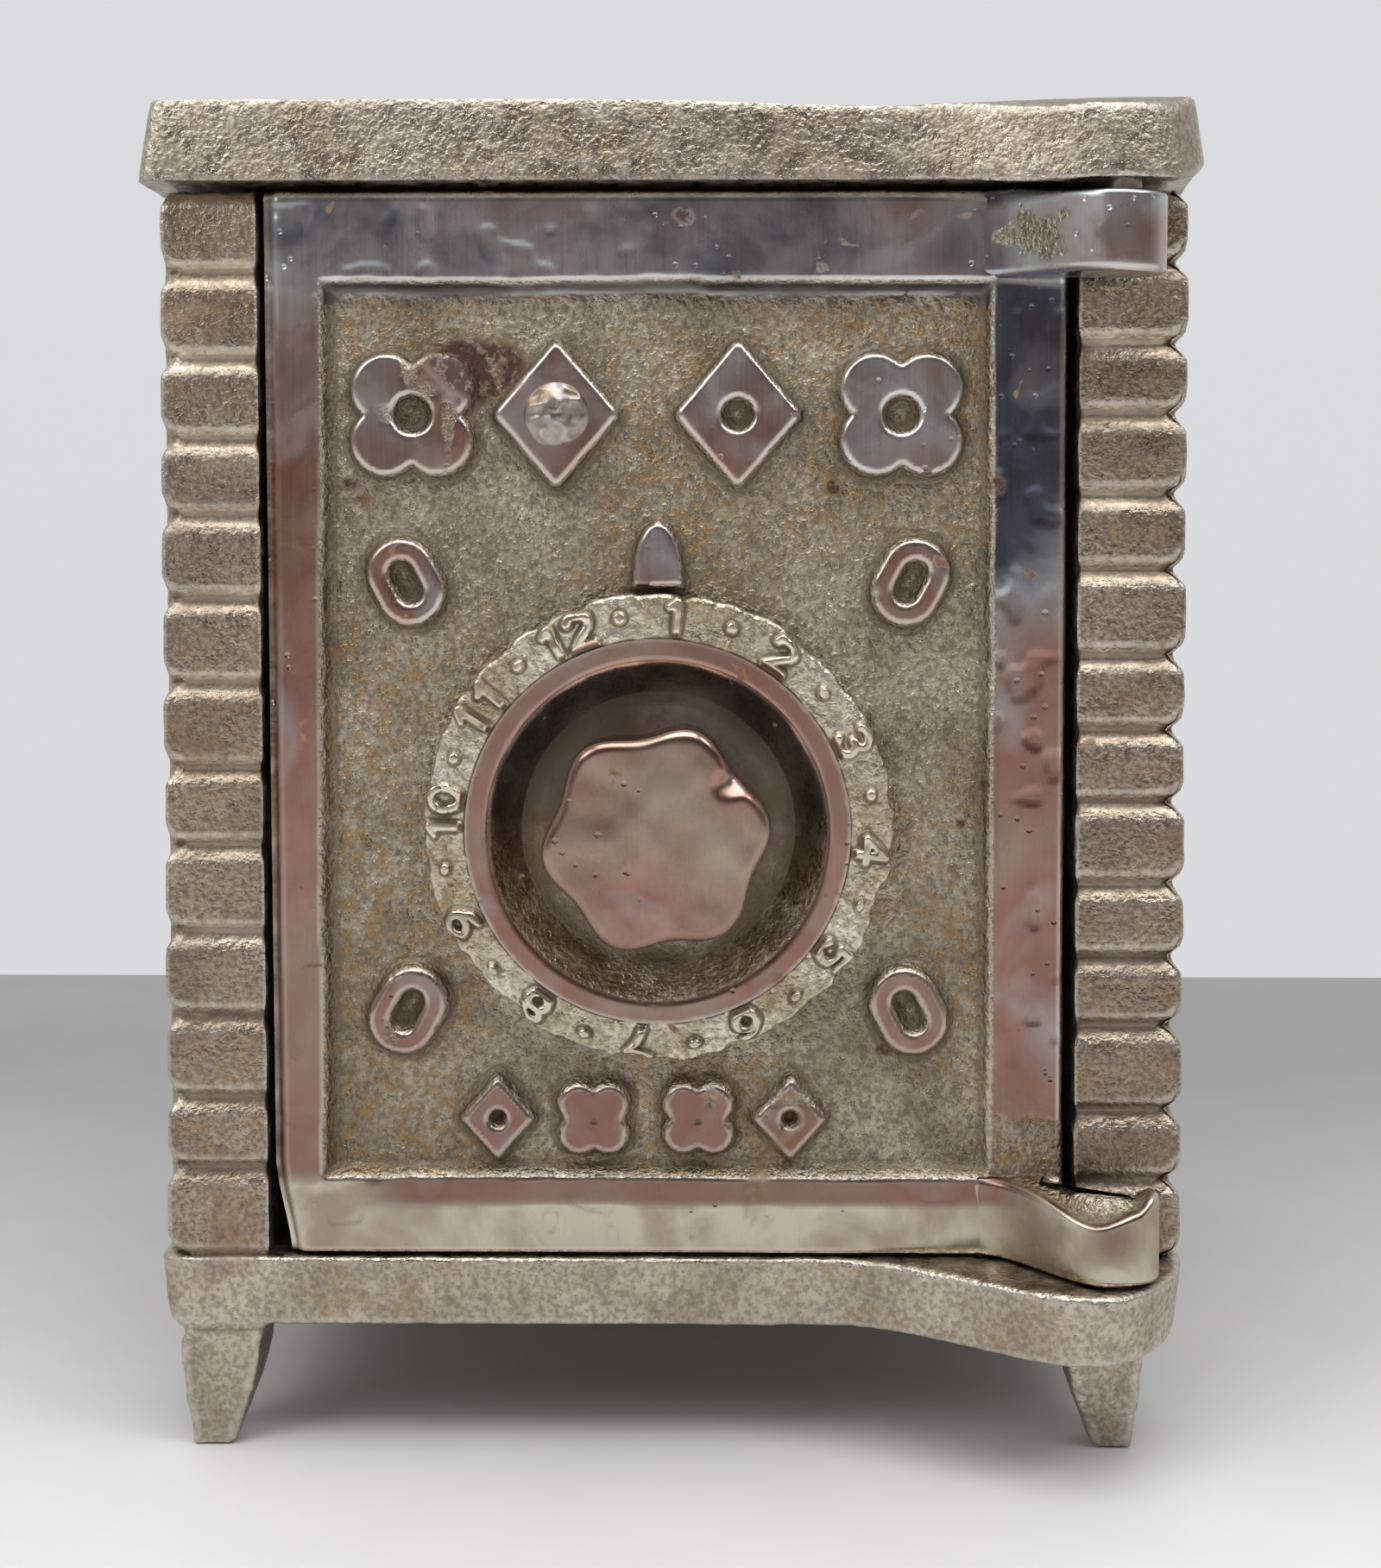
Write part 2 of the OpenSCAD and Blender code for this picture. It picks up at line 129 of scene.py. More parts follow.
# Dial, dish and lock
RING_FRONT = FRONT - 0.8
BAND_FRONT = RING_FRONT + 0.5
BAND_BACK = FIELD_Y - 0.35
RING_R = 14.4
DISH_R = 12.7
DISH_FLOOR_R = 9.6
DISH_FLOOR = RING_FRONT + 3.2
DISH_BACK = DISH_FLOOR + 1.6
HUB_R = DISH_R + 0.3
POCKET_R = HUB_R + 0.5
POCKET_FLOOR = DISH_BACK + 0.25
BOSS_R = 15.5
BOSS_BACK = DOOR_BACK + 3.3
BORE_R = 2.56
SPINDLE_R = 2.5
KNOB_R = 7.7
KNOB_LOBE = 0.5  # half the depth of the hollows between its lobes
STUD_R = 1.8
KNOB_FRONT = DIAL_LOW[1]


# -------------------- small maths
def smoothstep(low, high, value):
    t = np.clip((value - low) / (high - low), 0, 1)
    return t * t * (3 - 2 * t)


def ease(t):
    return (1 - np.cos(np.pi * np.clip(t, 0, 1))) / 2


def hash01(i, seed):
    """A repeatable number from 0 to 1 for each whole-number cell."""
    h = (i[..., 0] * 73856093) ^ (i[..., 1] * 19349663) ^ (i[..., 2] * 83492791) ^ (seed * 668265263)
    h = ((h ^ (h >> 15)) * 2246822519) & 0xFFFFFFFF
    h = ((h ^ (h >> 13)) * 3266489917) & 0xFFFFFFFF
    return ((h ^ (h >> 16)) & 0xFFFFFF) / 0xFFFFFF


def noise(points, cell, seed=0):
    """Smooth noise from -1 to 1 whose lumps are about one cell wide."""
    q = np.asarray(points, float) / cell
    whole = np.floor(q).astype(np.int64)
    f = q - whole
    f = f * f * (3 - 2 * f)
    total = 0
    for corner in np.ndindex(2, 2, 2):
        weight = np.prod(np.where(corner, f, 1 - f), axis=-1)
        total = total + weight * hash01(whole + np.array(corner), seed)
    return 2 * total - 1


def circle(columns):
    """Angles round a full turn."""
    return np.linspace(0, 2 * np.pi, columns, endpoint=False)


def flat_points(a, b, c=0.0):
    return np.stack(np.broadcast_arrays(a, b, c), axis=-1)


def round_points(r, a, y, centre_x=0.0, centre_z=0.0):
    """Points at radius r and angle a round a front-to-back axis."""
    return flat_points(centre_x + r * np.cos(a), y, centre_z + r * np.sin(a))


def bell(value, middle, width):
    return np.exp(-(((value - middle) / width) ** 2))


def as_cast(points, seed):
    """Sand-cast roughness in millimetres, mostly from 0 down to -0.2, so that it cuts inwards."""
    lumps = 0.05 * noise(points, 2.3, seed) + 0.045 * noise(points, 1.1, seed + 1)
    return lumps + 0.03 * noise(points, 0.6, seed + 2) - 0.09


# -------------------- meshes
LAYERS = ("polish", "tarnish_and_painted_shading", "stain")  # what each vertex tells its material


def strip_faces(rows, columns, wrap, start=0, closed=False):
    """Quads between successive rows of a rows x columns block of vertices, closed from last row to first."""
    row = np.arange(rows if closed else rows - 1)[:, None]
    i, below = row * columns, (row + 1) % rows * columns
    j = np.arange(columns if wrap else columns - 1)[None, :]
    k = (j + 1) % columns
    quads = np.stack([i + j, i + k, below + k, below + j], axis=-1)
    return (quads.reshape(-1, 4) + start).tolist()


def vertex_values(collection, name):
    """A 3-vector of each vertex."""
    values = np.empty(len(collection) * 3, np.float32)
    collection.foreach_get(name, values)
    return values.reshape(-1, 3)


def curvature(mesh):
    """How convex each vertex is: 1 on a sharp outer edge, -1 in a tight corner."""
    full_bend = 0.03 * MM
    count = len(mesh.vertices)
    co = vertex_values(mesh.vertices, "co")
    normal = vertex_values(mesh.vertex_normals, "vector")
    edge = np.empty(len(mesh.edges) * 2, np.int32)
    mesh.edges.foreach_get("vertices", edge)
    a, b = edge.reshape(-1, 2).T
    degree = np.bincount(a, minlength=count) + np.bincount(b, minlength=count)
    degree = np.maximum(degree, 1)

    def around(values):
        total = np.bincount(a, values[b], count) + np.bincount(b, values[a], count)
        return total / degree

    away = np.stack([co[:, k] - around(co[:, k]) for k in range(3)], axis=-1)
    bend = (away * normal).sum(axis=1) / full_bend
    for _ in range(2):
        bend = 0.5 * bend + 0.5 * around(bend)
    return np.clip(bend, -1, 1)


def store(mesh, name, values):
    made = mesh.attributes.new(name, "FLOAT", "POINT")
    made.data.foreach_set("value", np.asarray(values, np.float32))


def link(name, data):
    """A new object in the scene."""
    made = bpy.data.objects.new(name, data)
    bpy.context.scene.collection.objects.link(made)
    return made


def add_object(mesh, name, body, nodes, material, sharp=40):
    """Finishes a mesh that is already in metres and hangs it on its body."""
    if not mesh.materials:
        mesh.materials.append(material)
    mesh.shade_smooth()
    mesh.set_sharp_from_angle(angle=math.radians(sharp))
    store(mesh, "edge", curvature(mesh))
    piece = link(name, mesh)
    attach(piece, body)
    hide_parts(*nodes)
    return piece


class Skin:
    """Collects closed skins. Each vertex has a polish (0 as cast, 1 ground bright), a tarnish that also
    carries painted reflection and painted shade, and a stain.
    """

    def __init__(self):
        self.points, self.faces, self.count = [], [], 0
        self.layers = {layer: [] for layer in LAYERS}

    def add(self, points, faces, polish=0.0, tarnish_and_painted_shading=0.0, stain=0.0):
        points = np.asarray(points, float).reshape(-1, 3)
        self.points.append(points)
        self.faces += faces
        for layer, values in zip(LAYERS, (polish, tarnish_and_painted_shading, stain)):
            self.layers[layer].append(np.broadcast_to(np.asarray(values, float).reshape(-1), len(points)))
        self.count += len(points)

    def loft(self, rings, polish=0.0, tarnish_and_painted_shading=0.0, caps=True):
        """A closed skin through rings of points, (rows, columns, 3)."""
        rows, columns = rings.shape[:2]
        faces = strip_faces(rows, columns, True, self.count, closed=not caps)
        if caps:
            first = self.count + np.arange(columns)
            faces += [first[::-1].tolist(), (first + (rows - 1) * columns).tolist()]
        self.add(rings, faces, polish, tarnish_and_painted_shading)

    def build(self, name, body, nodes, material, sharp=40):
        mesh = bpy.data.meshes.new(name)
        points = np.concatenate(self.points)
        mesh.from_pydata((points * MM).tolist(), [], self.faces)
        bm = bmesh.new()
        bm.from_mesh(mesh)
        bmesh.ops.recalc_face_normals(bm, faces=bm.faces)
        bm.to_mesh(mesh)
        bm.free()
        for layer in LAYERS:
            store(mesh, layer, np.concatenate(self.layers[layer]))
        return add_object(mesh, name, body, nodes, material, sharp)


def outward(points):
    """The outward direction at each point of a closed anticlockwise outline."""
    along = np.roll(points, -1, axis=0) - np.roll(points, 1, axis=0)
    along /= np.linalg.norm(along, axis=1, keepdims=True)
    return np.stack([along[:, 1], -along[:, 0]], axis=-1)


def rounded_path(corners, spacing):
    """A closed plan outline through corners (x, y, radius, spacing of the side after it), anticlockwise."""
    points, n = [], len(corners)
    xy = np.array([c[:2] for c in corners], float)
    for i, (_, _, radius, step) in enumerate(corners):
        here, before, after = xy[i], xy[i - 1], xy[(i + 1) % n]
        into = (here - before) / np.linalg.norm(here - before)
        out = (after - here) / np.linalg.norm(after - here)
        start, end = here - into * radius, here + out * radius
        arc = max(2, int(round(radius * 1.6 / spacing)) + 1)
        for t in np.linspace(0, 1, arc):
            points.append((1 - t) ** 2 * start + 2 * t * (1 - t) * here + t**2 * end)
        next_start = after - out * corners[(i + 1) % n][2]
        count = max(1, int(round(np.linalg.norm(next_start - end) / step)))
        points += [end + (next_start - end) * k / count for k in range(1, count)]
    points = np.array(points)
    return points, outward(points)


def block(skin, low, high, radius):
    """A cast block with rounded edges between two corners."""
    (x0, y0, z0), (x1, y1, z1) = low, high
    plan, out = rounded_path([(x, y, radius, 1.0) for x, y in ((x0, y0), (x1, y0), (x1, y1), (x0, y1))], 0.3)
    turns = (0.5, 1.0)
    rows = [(z0, radius)]
    rows += [(z0 + radius * (1 - math.cos(t)), radius * (1 - math.sin(t))) for t in turns]
    rows += [(z, 0.0) for z in np.linspace(z0 + radius, z1 - radius, max(2, int((z1 - z0) / 1.5)))]
    rows += [(z1 - radius * (1 - math.cos(t)), radius * (1 - math.sin(t))) for t in turns[::-1]]
    rows += [(z1, radius)]
    rings = [flat_points((plan - out * inset)[:, 0], (plan - out * inset)[:, 1], z) for z, inset in rows]
    skin.loft(np.array(rings))


def recast(node, body, material, voxel, smooth=2, shape=None, rough=1.0, seed=1):
    """A piece with the CAD node's form, its edges softened and its faces roughened like a casting."""
    source = link("source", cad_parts[node].data.copy())
    remesh = source.modifiers.new("remesh", "REMESH")
    remesh.mode = "VOXEL"
    remesh.voxel_size = voxel * MM
    softer = source.modifiers.new("smooth", "SMOOTH")
    softer.factor = 0.5
    softer.iterations = smooth
    graph = bpy.context.evaluated_depsgraph_get()
    mesh = bpy.data.meshes.new_from_object(source.evaluated_get(graph))
    bpy.data.objects.remove(source)
    points = vertex_values(mesh.vertices, "co").astype(float) / MM
    points += vertex_values(mesh.vertex_normals, "vector") * (rough * as_cast(points, seed))[:, None]
    if shape:
        points = shape(points)
    mesh.vertices.foreach_set("co", (points * MM).astype(np.float32).ravel())
    mesh.update()
    mesh.materials.clear()
    mesh.name = node
    for layer in LAYERS:
        store(mesh, layer, np.zeros(len(points)))
    return add_object(mesh, node + "_skin", body, [node], material, sharp=60)


# -------------------- materials
class Graph:
    """A short way to write the nodes of a material or of the world."""

    def __init__(self, owner, coordinate="Object"):
        owner.use_nodes = True
        self.owner = owner
        self.tree = owner.node_tree
        self.shader = self.tree.nodes.get("Principled BSDF")
        self.place = self.node("ShaderNodeTexCoord").outputs[coordinate]

    def node(self, kind, inputs=(), **settings):
        made = self.tree.nodes.new(kind)
        for key, value in settings.items():
            setattr(made, key, value)
        for key, value in dict(inputs).items():
            self.put(made.inputs[key], value)
        return made

    def put(self, socket, value):
        if isinstance(value, bpy.types.NodeSocket):
            self.tree.links.new(value, socket)
        else:
            socket.default_value = value

    def attribute(self, name):
        return self.node("ShaderNodeAttribute", attribute_name=name).outputs["Fac"]

    def maths(self, operation, a, b=0.0, clamp=False):
        made = self.node("ShaderNodeMath", {0: a, 1: b}, operation=operation)
        made.use_clamp = clamp
        return made.outputs[0]

    def times(self, a, b):
        return self.maths("MULTIPLY", a, b)

    def noise(self, size, detail=3.0, stretch=(1, 1, 1), distortion=0.0, roughness=0.5):
        """Noise from 0 to 1 whose lumps are about size millimetres."""
        scaled = self.node("ShaderNodeMapping", {"Vector": self.place, "Scale": stretch})
        inputs = {"Vector": scaled.outputs[0], "Scale": 0.5 / (size * MM), "Detail": detail}
        inputs.update({"Distortion": distortion, "Roughness": roughness})
        return self.node("ShaderNodeTexNoise", inputs).outputs["Fac"]

    def cells(self, size, stretch=(1, 1, 1)):
        scaled = self.node("ShaderNodeMapping", {"Vector": self.place, "Scale": stretch})
        inputs = {"Vector": scaled.outputs[0], "Scale": 1 / (size * MM)}
        return self.node("ShaderNodeTexVoronoi", inputs).outputs["Distance"]

    def span(self, value, low, high, to_low=0.0, to_high=1.0):
        inputs = {"Value": value, "From Min": low, "From Max": high, "To Min": to_low, "To Max": to_high}
        return self.node("ShaderNodeMapRange", inputs, interpolation_type="SMOOTHSTEP").outputs[0]

    def mix(self, factor, a, b):
        made = self.node("ShaderNodeMix", data_type="RGBA")
        self.put(made.inputs[0], factor)
        for socket, value in ((made.inputs[6], a), (made.inputs[7], b)):
            self.put(socket, value if isinstance(value, bpy.types.NodeSocket) else (*value, 1.0))
        return made.outputs[2]

    def ramp(self, value, *stops):
        made = self.node("ShaderNodeValToRGB", {"Fac": value})
        elements = made.color_ramp.elements
        while len(elements) < len(stops):
            elements.new(0.5)
        for element, (position, colour) in zip(elements, stops):
            element.position = position
            element.color = (*colour, 1.0)
        return made.outputs[0]

    def bump(self, height, depth, strength=1.0, after=None):
        inputs = {"Height": height, "Distance": depth * MM, "Strength": strength}
        if after is not None:
            inputs["Normal"] = after
        return self.node("ShaderNodeBump", inputs).outputs[0]


# Colours of the polished plate, from bright to black, and of what lies on it; the bright and dark ends of the
# ramp also serve as painted reflection and painted shade
GLINT = (0.97, 0.88, 0.71)
CHAMPAGNE = (0.64, 0.54, 0.41)
UMBER = (0.46, 0.36, 0.29)
SALMON = (0.42, 0.225, 0.175)
PEWTER = (0.57, 0.60, 0.605)
NIGHT = (0.12, 0.135, 0.17)
DIRT = (0.14, 0.105, 0.065)
GOLD_RUST = (0.33, 0.20, 0.075)
RED_RUST = (0.16, 0.045, 0.02)
OLD_RUST = (0.060, 0.017, 0.011)


def nickel(name, cast_dark, cast_light, rust=0.5, dirt=0.6, grain=1.0):
    """Worn nickel plate: rough and sparkling as cast, ground bright where 'polish' is 1."""
    g = Graph(bpy.data.materials.new(name))
    polish = g.attribute("polish")
    edge = g.attribute("edge")
    tarnish_and_painted_shading = g.attribute("tarnish_and_painted_shading")

    # As-cast colour: two plate tones, with golden rust in the grain
    tone = g.span(g.noise(3.5, 6, roughness=0.6), 0.26, 0.76)
    cast = g.mix(tone, cast_dark, cast_light)
    cast = g.mix(g.span(g.noise(0.20, 4), 0.36, 0.66, 0.0, 0.6), cast, g.mix(0.5, cast_dark, (0.0, 0.0, 0.0)))
    speckle = g.times(g.span(g.noise(0.5, 4), 0.46, 0.62), g.span(g.noise(8, 3), 0.40, 0.60))
    cast = g.mix(g.times(speckle, 0.65 * rust), cast, GOLD_RUST)

    # Polished colour: champagne, salmon and blue-black tarnish in soft clouds, plus painted reflection and
    # painted shade set by position through the tarnish attribute
    clouds = g.times(g.maths("SUBTRACT", g.noise(4, 4, distortion=0.5), 0.5), 0.7)
    shade = g.maths("ADD", tarnish_and_painted_shading, clouds, clamp=True)
    bright = g.ramp(
        shade, (0.0, GLINT), (0.1, CHAMPAGNE), (0.3, UMBER), (0.55, SALMON), (0.8, PEWTER), (1.0, NIGHT)
    )
    # Painted shade: the polished colour is darkened towards the bottom by height, by half at 12 mm and not at
    # all above 95 mm.
    level = g.node("ShaderNodeSeparateXYZ", {0: g.place}).outputs[2]
    bright = g.mix(g.span(level, 0.012, 0.095, 0.50, 0.0), bright, (0.02, 0.01, 0.01))
    colour = g.mix(polish, cast, bright)

    # Bright worn edges, dirty corners, rust stains
    worn = g.span(edge, 0.25, 0.95)
    colour = g.mix(g.times(worn, 0.35), colour, (0.72, 0.68, 0.60))
    corner = g.span(g.times(edge, -1.0), 0.08, 0.6)
    grime = g.times(corner, g.span(g.noise(2.5, 4), 0.3, 0.6, 0.35, dirt))
    colour = g.mix(grime, colour, DIRT)
    stain = g.span(g.noise(11, 6, distortion=0.6), 0.66, 0.72)
    freckle = g.span(g.noise(1.2, 4, distortion=0.4), 0.68, 0.74)
    painted = g.times(g.attribute("stain"), g.span(g.noise(0.45, 5, roughness=0.65), 0.36, 0.50))
    stains = g.times(g.maths("MAXIMUM", stain, freckle), rust)
    stains = g.maths("MAXIMUM", stains, painted, clamp=True)
    rust_colour = g.mix(g.span(g.noise(0.7, 4), 0.4, 0.6), RED_RUST, GOLD_RUST)
    colour = g.mix(g.times(stains, 0.92), colour, g.mix(painted, rust_colour, OLD_RUST))
    g.put(g.shader.inputs["Base Color"], colour)

    dull = g.maths("MAXIMUM", stains, g.times(grime, 0.7))
    g.put(g.shader.inputs["Metallic"], g.span(dull, 0.0, 0.8, 1.0, 0.1))

    # Fine grinding lines and small pits on the bright faces, sand grain on the rest
    lines = g.noise(0.10, 2, (1, 1, 0.03))
    smears = g.noise(2.2, 4, distortion=0.8)
    holes = g.maths("SUBTRACT", 1.0, g.span(g.cells(1.5), 0.06, 0.17))
    pits = g.times(holes, g.span(g.noise(6, 3), 0.50, 0.60))
    smooth = g.maths("ADD", g.span(lines, 0.3, 0.7, 0.0, 0.04), g.span(smears, 0.35, 0.65, 0.18, 0.30))
    cast_rough = g.span(g.noise(0.6, 4), 0.3, 0.7, 0.24, 0.48)
    rough = g.node("ShaderNodeMix", {0: polish, 2: cast_rough, 3: smooth}).outputs[0]
    rough = g.maths("ADD", rough, g.times(dull, 0.35), clamp=True)
    g.put(g.shader.inputs["Roughness"], rough)

    sand = g.maths("ADD", g.noise(0.20, 3, roughness=0.55), g.times(g.noise(0.6, 3), 0.5))
    as_cast_strength = g.span(polish, 0.0, 1.0, 0.9 * grain, 0.0)
    normal = g.bump(sand, 0.2, as_cast_strength)
    marks = g.maths("SUBTRACT", g.times(lines, 0.05), g.times(pits, 3.5))
    normal = g.bump(g.maths("ADD", marks, smears), 0.035, g.times(polish, 0.5), normal)
    g.put(g.shader.inputs["Normal"], normal)
    return g.owner


def steel(name, light, dark, rust):
    """Plain steel hardware with handling marks and a little rust."""
    g = Graph(bpy.data.materials.new(name))
    colour = g.mix(g.noise(1.5, 4), dark, light)
    worn = g.span(g.attribute("edge"), 0.15, 0.7)
    colour = g.mix(g.times(worn, 0.5), colour, (0.6, 0.58, 0.55))
    spots = g.times(g.span(g.noise(1.2, 5), 0.55, 0.68), rust)
    colour = g.mix(spots, colour, GOLD_RUST)
    g.put(g.shader.inputs["Base Color"], colour)
    g.put(g.shader.inputs["Metallic"], g.span(spots, 0, 1, 1.0, 0.3))
    g.put(g.shader.inputs["Roughness"], g.span(g.noise(0.5, 4), 0.3, 0.7, 0.28, 0.5))
    g.put(g.shader.inputs["Normal"], g.bump(g.noise(0.3, 4), 0.05, 0.5))
    return g.owner


CASE_METAL = nickel("case_nickel", (0.38, 0.325, 0.25), (0.62, 0.56, 0.455), grain=0.8)
COLUMN_METAL = nickel("column_nickel", (0.27, 0.21, 0.155), (0.46, 0.385, 0.30), dirt=0.5)
DOOR_METAL = nickel("door_nickel", (0.25, 0.21, 0.145), (0.53, 0.475, 0.37), rust=0.9, grain=1.5)
DIAL_METAL = nickel("dial_nickel", (0.48, 0.41, 0.26), (0.88, 0.84, 0.73), rust=0.9, dirt=0.95)
LOCK_IRON = nickel("lock_iron", (0.10, 0.075, 0.06), (0.20, 0.165, 0.14), rust=0.9)
PLAIN_STEEL = steel("plain_steel", (0.47, 0.43, 0.39), (0.27, 0.235, 0.21), 0.6)
SPRING_STEEL = steel("spring_steel", (0.22, 0.24, 0.30), (0.12, 0.13, 0.16), 0.3)


# -------------------- side walls
def course_profile(z, courses, shoulder, depth, seed):
    """(how far each level is cut back at the joints, height above the joint below, height of the stone)."""
    pitch = (COLUMN_TOP - BASE_Z) / courses
    joints = BASE_Z + pitch * np.arange(courses + 1)
    index = flat_points(np.arange(courses + 1), 0, 0).astype(np.int64)
    joints[1:-1] += 0.09 * pitch * (2 * hash01(index, seed)[1:-1] - 1)
    upper = np.clip(np.searchsorted(joints, z), 1, courses)
    above, below = z - joints[upper - 1], joints[upper] - z
    lip = smoothstep(0.55 * shoulder + 0.25, 0, above)
    slope = smoothstep(shoulder, 0, below)
    cut = depth * np.maximum(lip, slope) + 0.16 * hash01(flat_points(upper, seed, 3).astype(np.int64), 5)
    return cut + 0.08 * (1 - 4 * above * below / (above + below) ** 2), above, above + below


def side_wall(node, sign, column_w, courses, shoulder, depth, panel_out, quoin_d, side_in, seed):
    """One side wall: the stone column round the front corner, a panelled flank and a stone rear corner.

    Shoulder and depth are the height and depth of the joints' slopes, quoin_d is how far back the stones
    go, panel_out is how far the panel's frame stands out, and side_in sets the column's flank back.
    """
    skin = Skin()
    web_x = HALF_W - CLAD_T
    plan, out = rounded_path(
        [
            (HALF_W - column_w, FRONT, 0.15, 0.25),
            (HALF_W, FRONT, 0.65, 0.4),
            (HALF_W, BACK, 0.65, 0.5),
            (web_x, BACK, 0.3, 3.0),
            (web_x, FRONT + COLUMN_D, 0.1, 1.0),
            (HALF_W - column_w, FRONT + COLUMN_D, 0.3, 0.6),
        ],
        0.2,
    )
    levels = np.linspace(BASE_Z, COLUMN_TOP, WALL_ROWS)
    z = np.unique(np.concatenate([levels, [COLUMN_TOP - 0.12, COLUMN_TOP - 0.3]]))
    x, zz = np.meshgrid(plan[:, 0], z)
    y = np.broadcast_to(plan[:, 1], x.shape)
    nx, ny = np.broadcast_to(out[:, 0], x.shape), np.broadcast_to(out[:, 1], x.shape)
    places = flat_points(x, y, zz)

    cut, above, stone_h = (values[:, None] for values in course_profile(z, courses, shoulder, depth, seed))
    on_front = (ny < -0.5) & (y < FRONT + 1)
    on_flank = nx > 0.7
    stone_end = smoothstep(FRONT + quoin_d + 0.1, FRONT + quoin_d - 0.3, y)
    stone_end = np.maximum(stone_end, smoothstep(BACK - quoin_d - 0.1, BACK - quoin_d + 0.3, y))
    stone = np.where(on_front, 1.0, np.where(on_flank, stone_end, 0.25))
    stone = np.where((nx < -0.5) & (y > BACK - 4), 0.6, stone)
    from_corner = np.hypot(x - HALF_W, y - FRONT)
    chamfer = np.clip(2.0 - from_corner - above, 0, 1.3) * (y < FRONT + 3)
    crown = np.clip(1.5 - from_corner - (stone_h - above), 0, 1.0) * (y < FRONT + 3)
    inset = cut * stone + 0.5 * chamfer + 0.4 * crown + side_in * on_flank * (y < FRONT + 4)
    panel = on_flank * (1 - stone_end) * smoothstep(PANEL_TOP + 0.25, PANEL_TOP - 0.25, zz)
    inside_y = np.minimum(y - FRONT - PANEL_SIDE, BACK - PANEL_SIDE - y)
    inside_z = np.minimum(zz - BASE_Z - PANEL_MARGIN, PANEL_TOP - PANEL_MARGIN - zz)
    sunk = PANEL_SUNK * smoothstep(-0.3, 0.5, np.minimum(inside_y, inside_z))
    inset = inset - panel * (panel_out - sunk)
    inset = inset + np.maximum(0, 0.5 - (COLUMN_TOP - zz)) ** 2
    inset = inset - as_cast(places, seed) * np.where(on_flank, 0.9, 0.7)
    rough_x, rough_y = x - nx * inset, y - ny * inset
    if sign < 0:  # the left column grows a little wider downwards
        inner = smoothstep(HALF_W - column_w + 3, HALF_W - column_w, x)
        rough_x = rough_x - 0.45 * inner * (COLUMN_TOP - zz) / (COLUMN_TOP - BASE_Z)
    zz = zz - 0.12 * smoothstep(COLUMN_TOP - 1.5, COLUMN_TOP, zz) * (noise(places, 4, seed + 7) * 0.5 + 0.5)
    tarnish_and_painted_shading = np.clip(0.12 + 0.1 * noise(places, 9, seed + 3), 0, 1)
    # The joints' shoulders are made half polished: a golden tint, and a painted highlight where they face up.
    lit_golden_shoulders = 0.5 * smoothstep(0.15, 0.75, cut / depth) * (y < FRONT + 1)
    skin.loft(flat_points(sign * rough_x, rough_y, zz), lit_golden_shoulders, tarnish_and_painted_shading)

    def part(low, high, radius):
        low, high = np.array(low, float), np.array(high, float)
        if sign < 0:
            low[0], high[0] = -high[0], -low[0]
        block(skin, low, high, radius)

    part((web_x - WEB_T, FRONT + 4.4, BASE_Z), (web_x + 0.02, BACK - 3.7, ROOF_Z), 0.15)
    if sign < 0:  # the strike that the lock disc passes behind
        strike_y = DOOR_BACK + 0.4
        low_z, high_z = DIAL_Z - STRIKE_HALF_H, DIAL_Z + STRIKE_HALF_H
        part((24.5, strike_y, low_z), (HALF_W - column_w + 1, strike_y + 2.6, high_z), 0.4)
        part((29.8, strike_y, low_z), (web_x, strike_y + 8, high_z), 0.4)
    return skin.build(node + "_skin", "case", [node], COLUMN_METAL, sharp=50)


# -------------------- top, base and back
def shape_top(points):
    """Drafted edges, a front edge that dips over the door, and a front right corner that droops."""
    x, y, z = points.T
    up = np.clip((z - ROOF_Z) / (TOP_HIGH[2] - ROOF_Z), 0, 1)
    middle_y = (FRONT + BACK) / 2
    x = x * (1.001 - 0.020 * up)  # the 1.001 gives back what the softening takes off
    y = middle_y + (y - middle_y) * (1 - 0.02 * up)
    front = smoothstep(FRONT + 14, FRONT, y)
    sag = 0.55 * bell(x, 15, 12) * front * up
    droop = 0.6 + (0.7 + 0.5 * up) * smoothstep(FRONT - 0.5, FRONT - 4.5, y)
    under = np.clip((ROOF_Z + 1.6 - z) / 1.6, 0, 1) * smoothstep(35.5, 39.2, x) * front
    x = x - 0.9 * under**2
    droop = droop - 0.5 * under + 0.7 * smoothstep(36.8, 39.0, x) ** 2 * front * up
    return np.stack([x, y, z - sag - droop], axis=-1)


def shape_base(points):
    """Plate edges that draw in downwards, a bulge that stops short of the corner, feet that stand flat."""
    x, y, z = points.T
    low = np.clip((BASE_Z - z) / (BASE_Z - BASE_UNDER), 0, 1)
    middle_y = (FRONT + BACK) / 2
    outer = smoothstep(28, 37, np.abs(x))
    spread = np.where(x < 0, 0.0, -0.25) * outer
    x = x + np.sign(x) * (spread - 0.55 * low * outer * (z > 8.5) - 0.3 * outer * (z <= 8.5))
    x = x - 1.9 * smoothstep(18, 36, x) * smoothstep(FRONT + 2, FRONT - 6, y)
    y = middle_y + (y - middle_y) * (1 - 0.012 * low)
    toe = smoothstep(FOOT_TOP, 4.0, z)
    foot_x = np.sign(x) * FOOT_X
    x = np.where(z < FOOT_TOP, foot_x + (x - foot_x) * (1 + 0.22 * toe), x)
    x = x - 1.3 * smoothstep(10.5, 7.5, z) * (x > 0) * (y < 0)
    tip = z.min()
    z = z - tip * np.clip(1 - z / 3.0, 0, 1) + 0.12 * smoothstep(BASE_Z - 1.5, BASE_Z - 0.2, z)
    return np.stack([x, y, z], axis=-1)


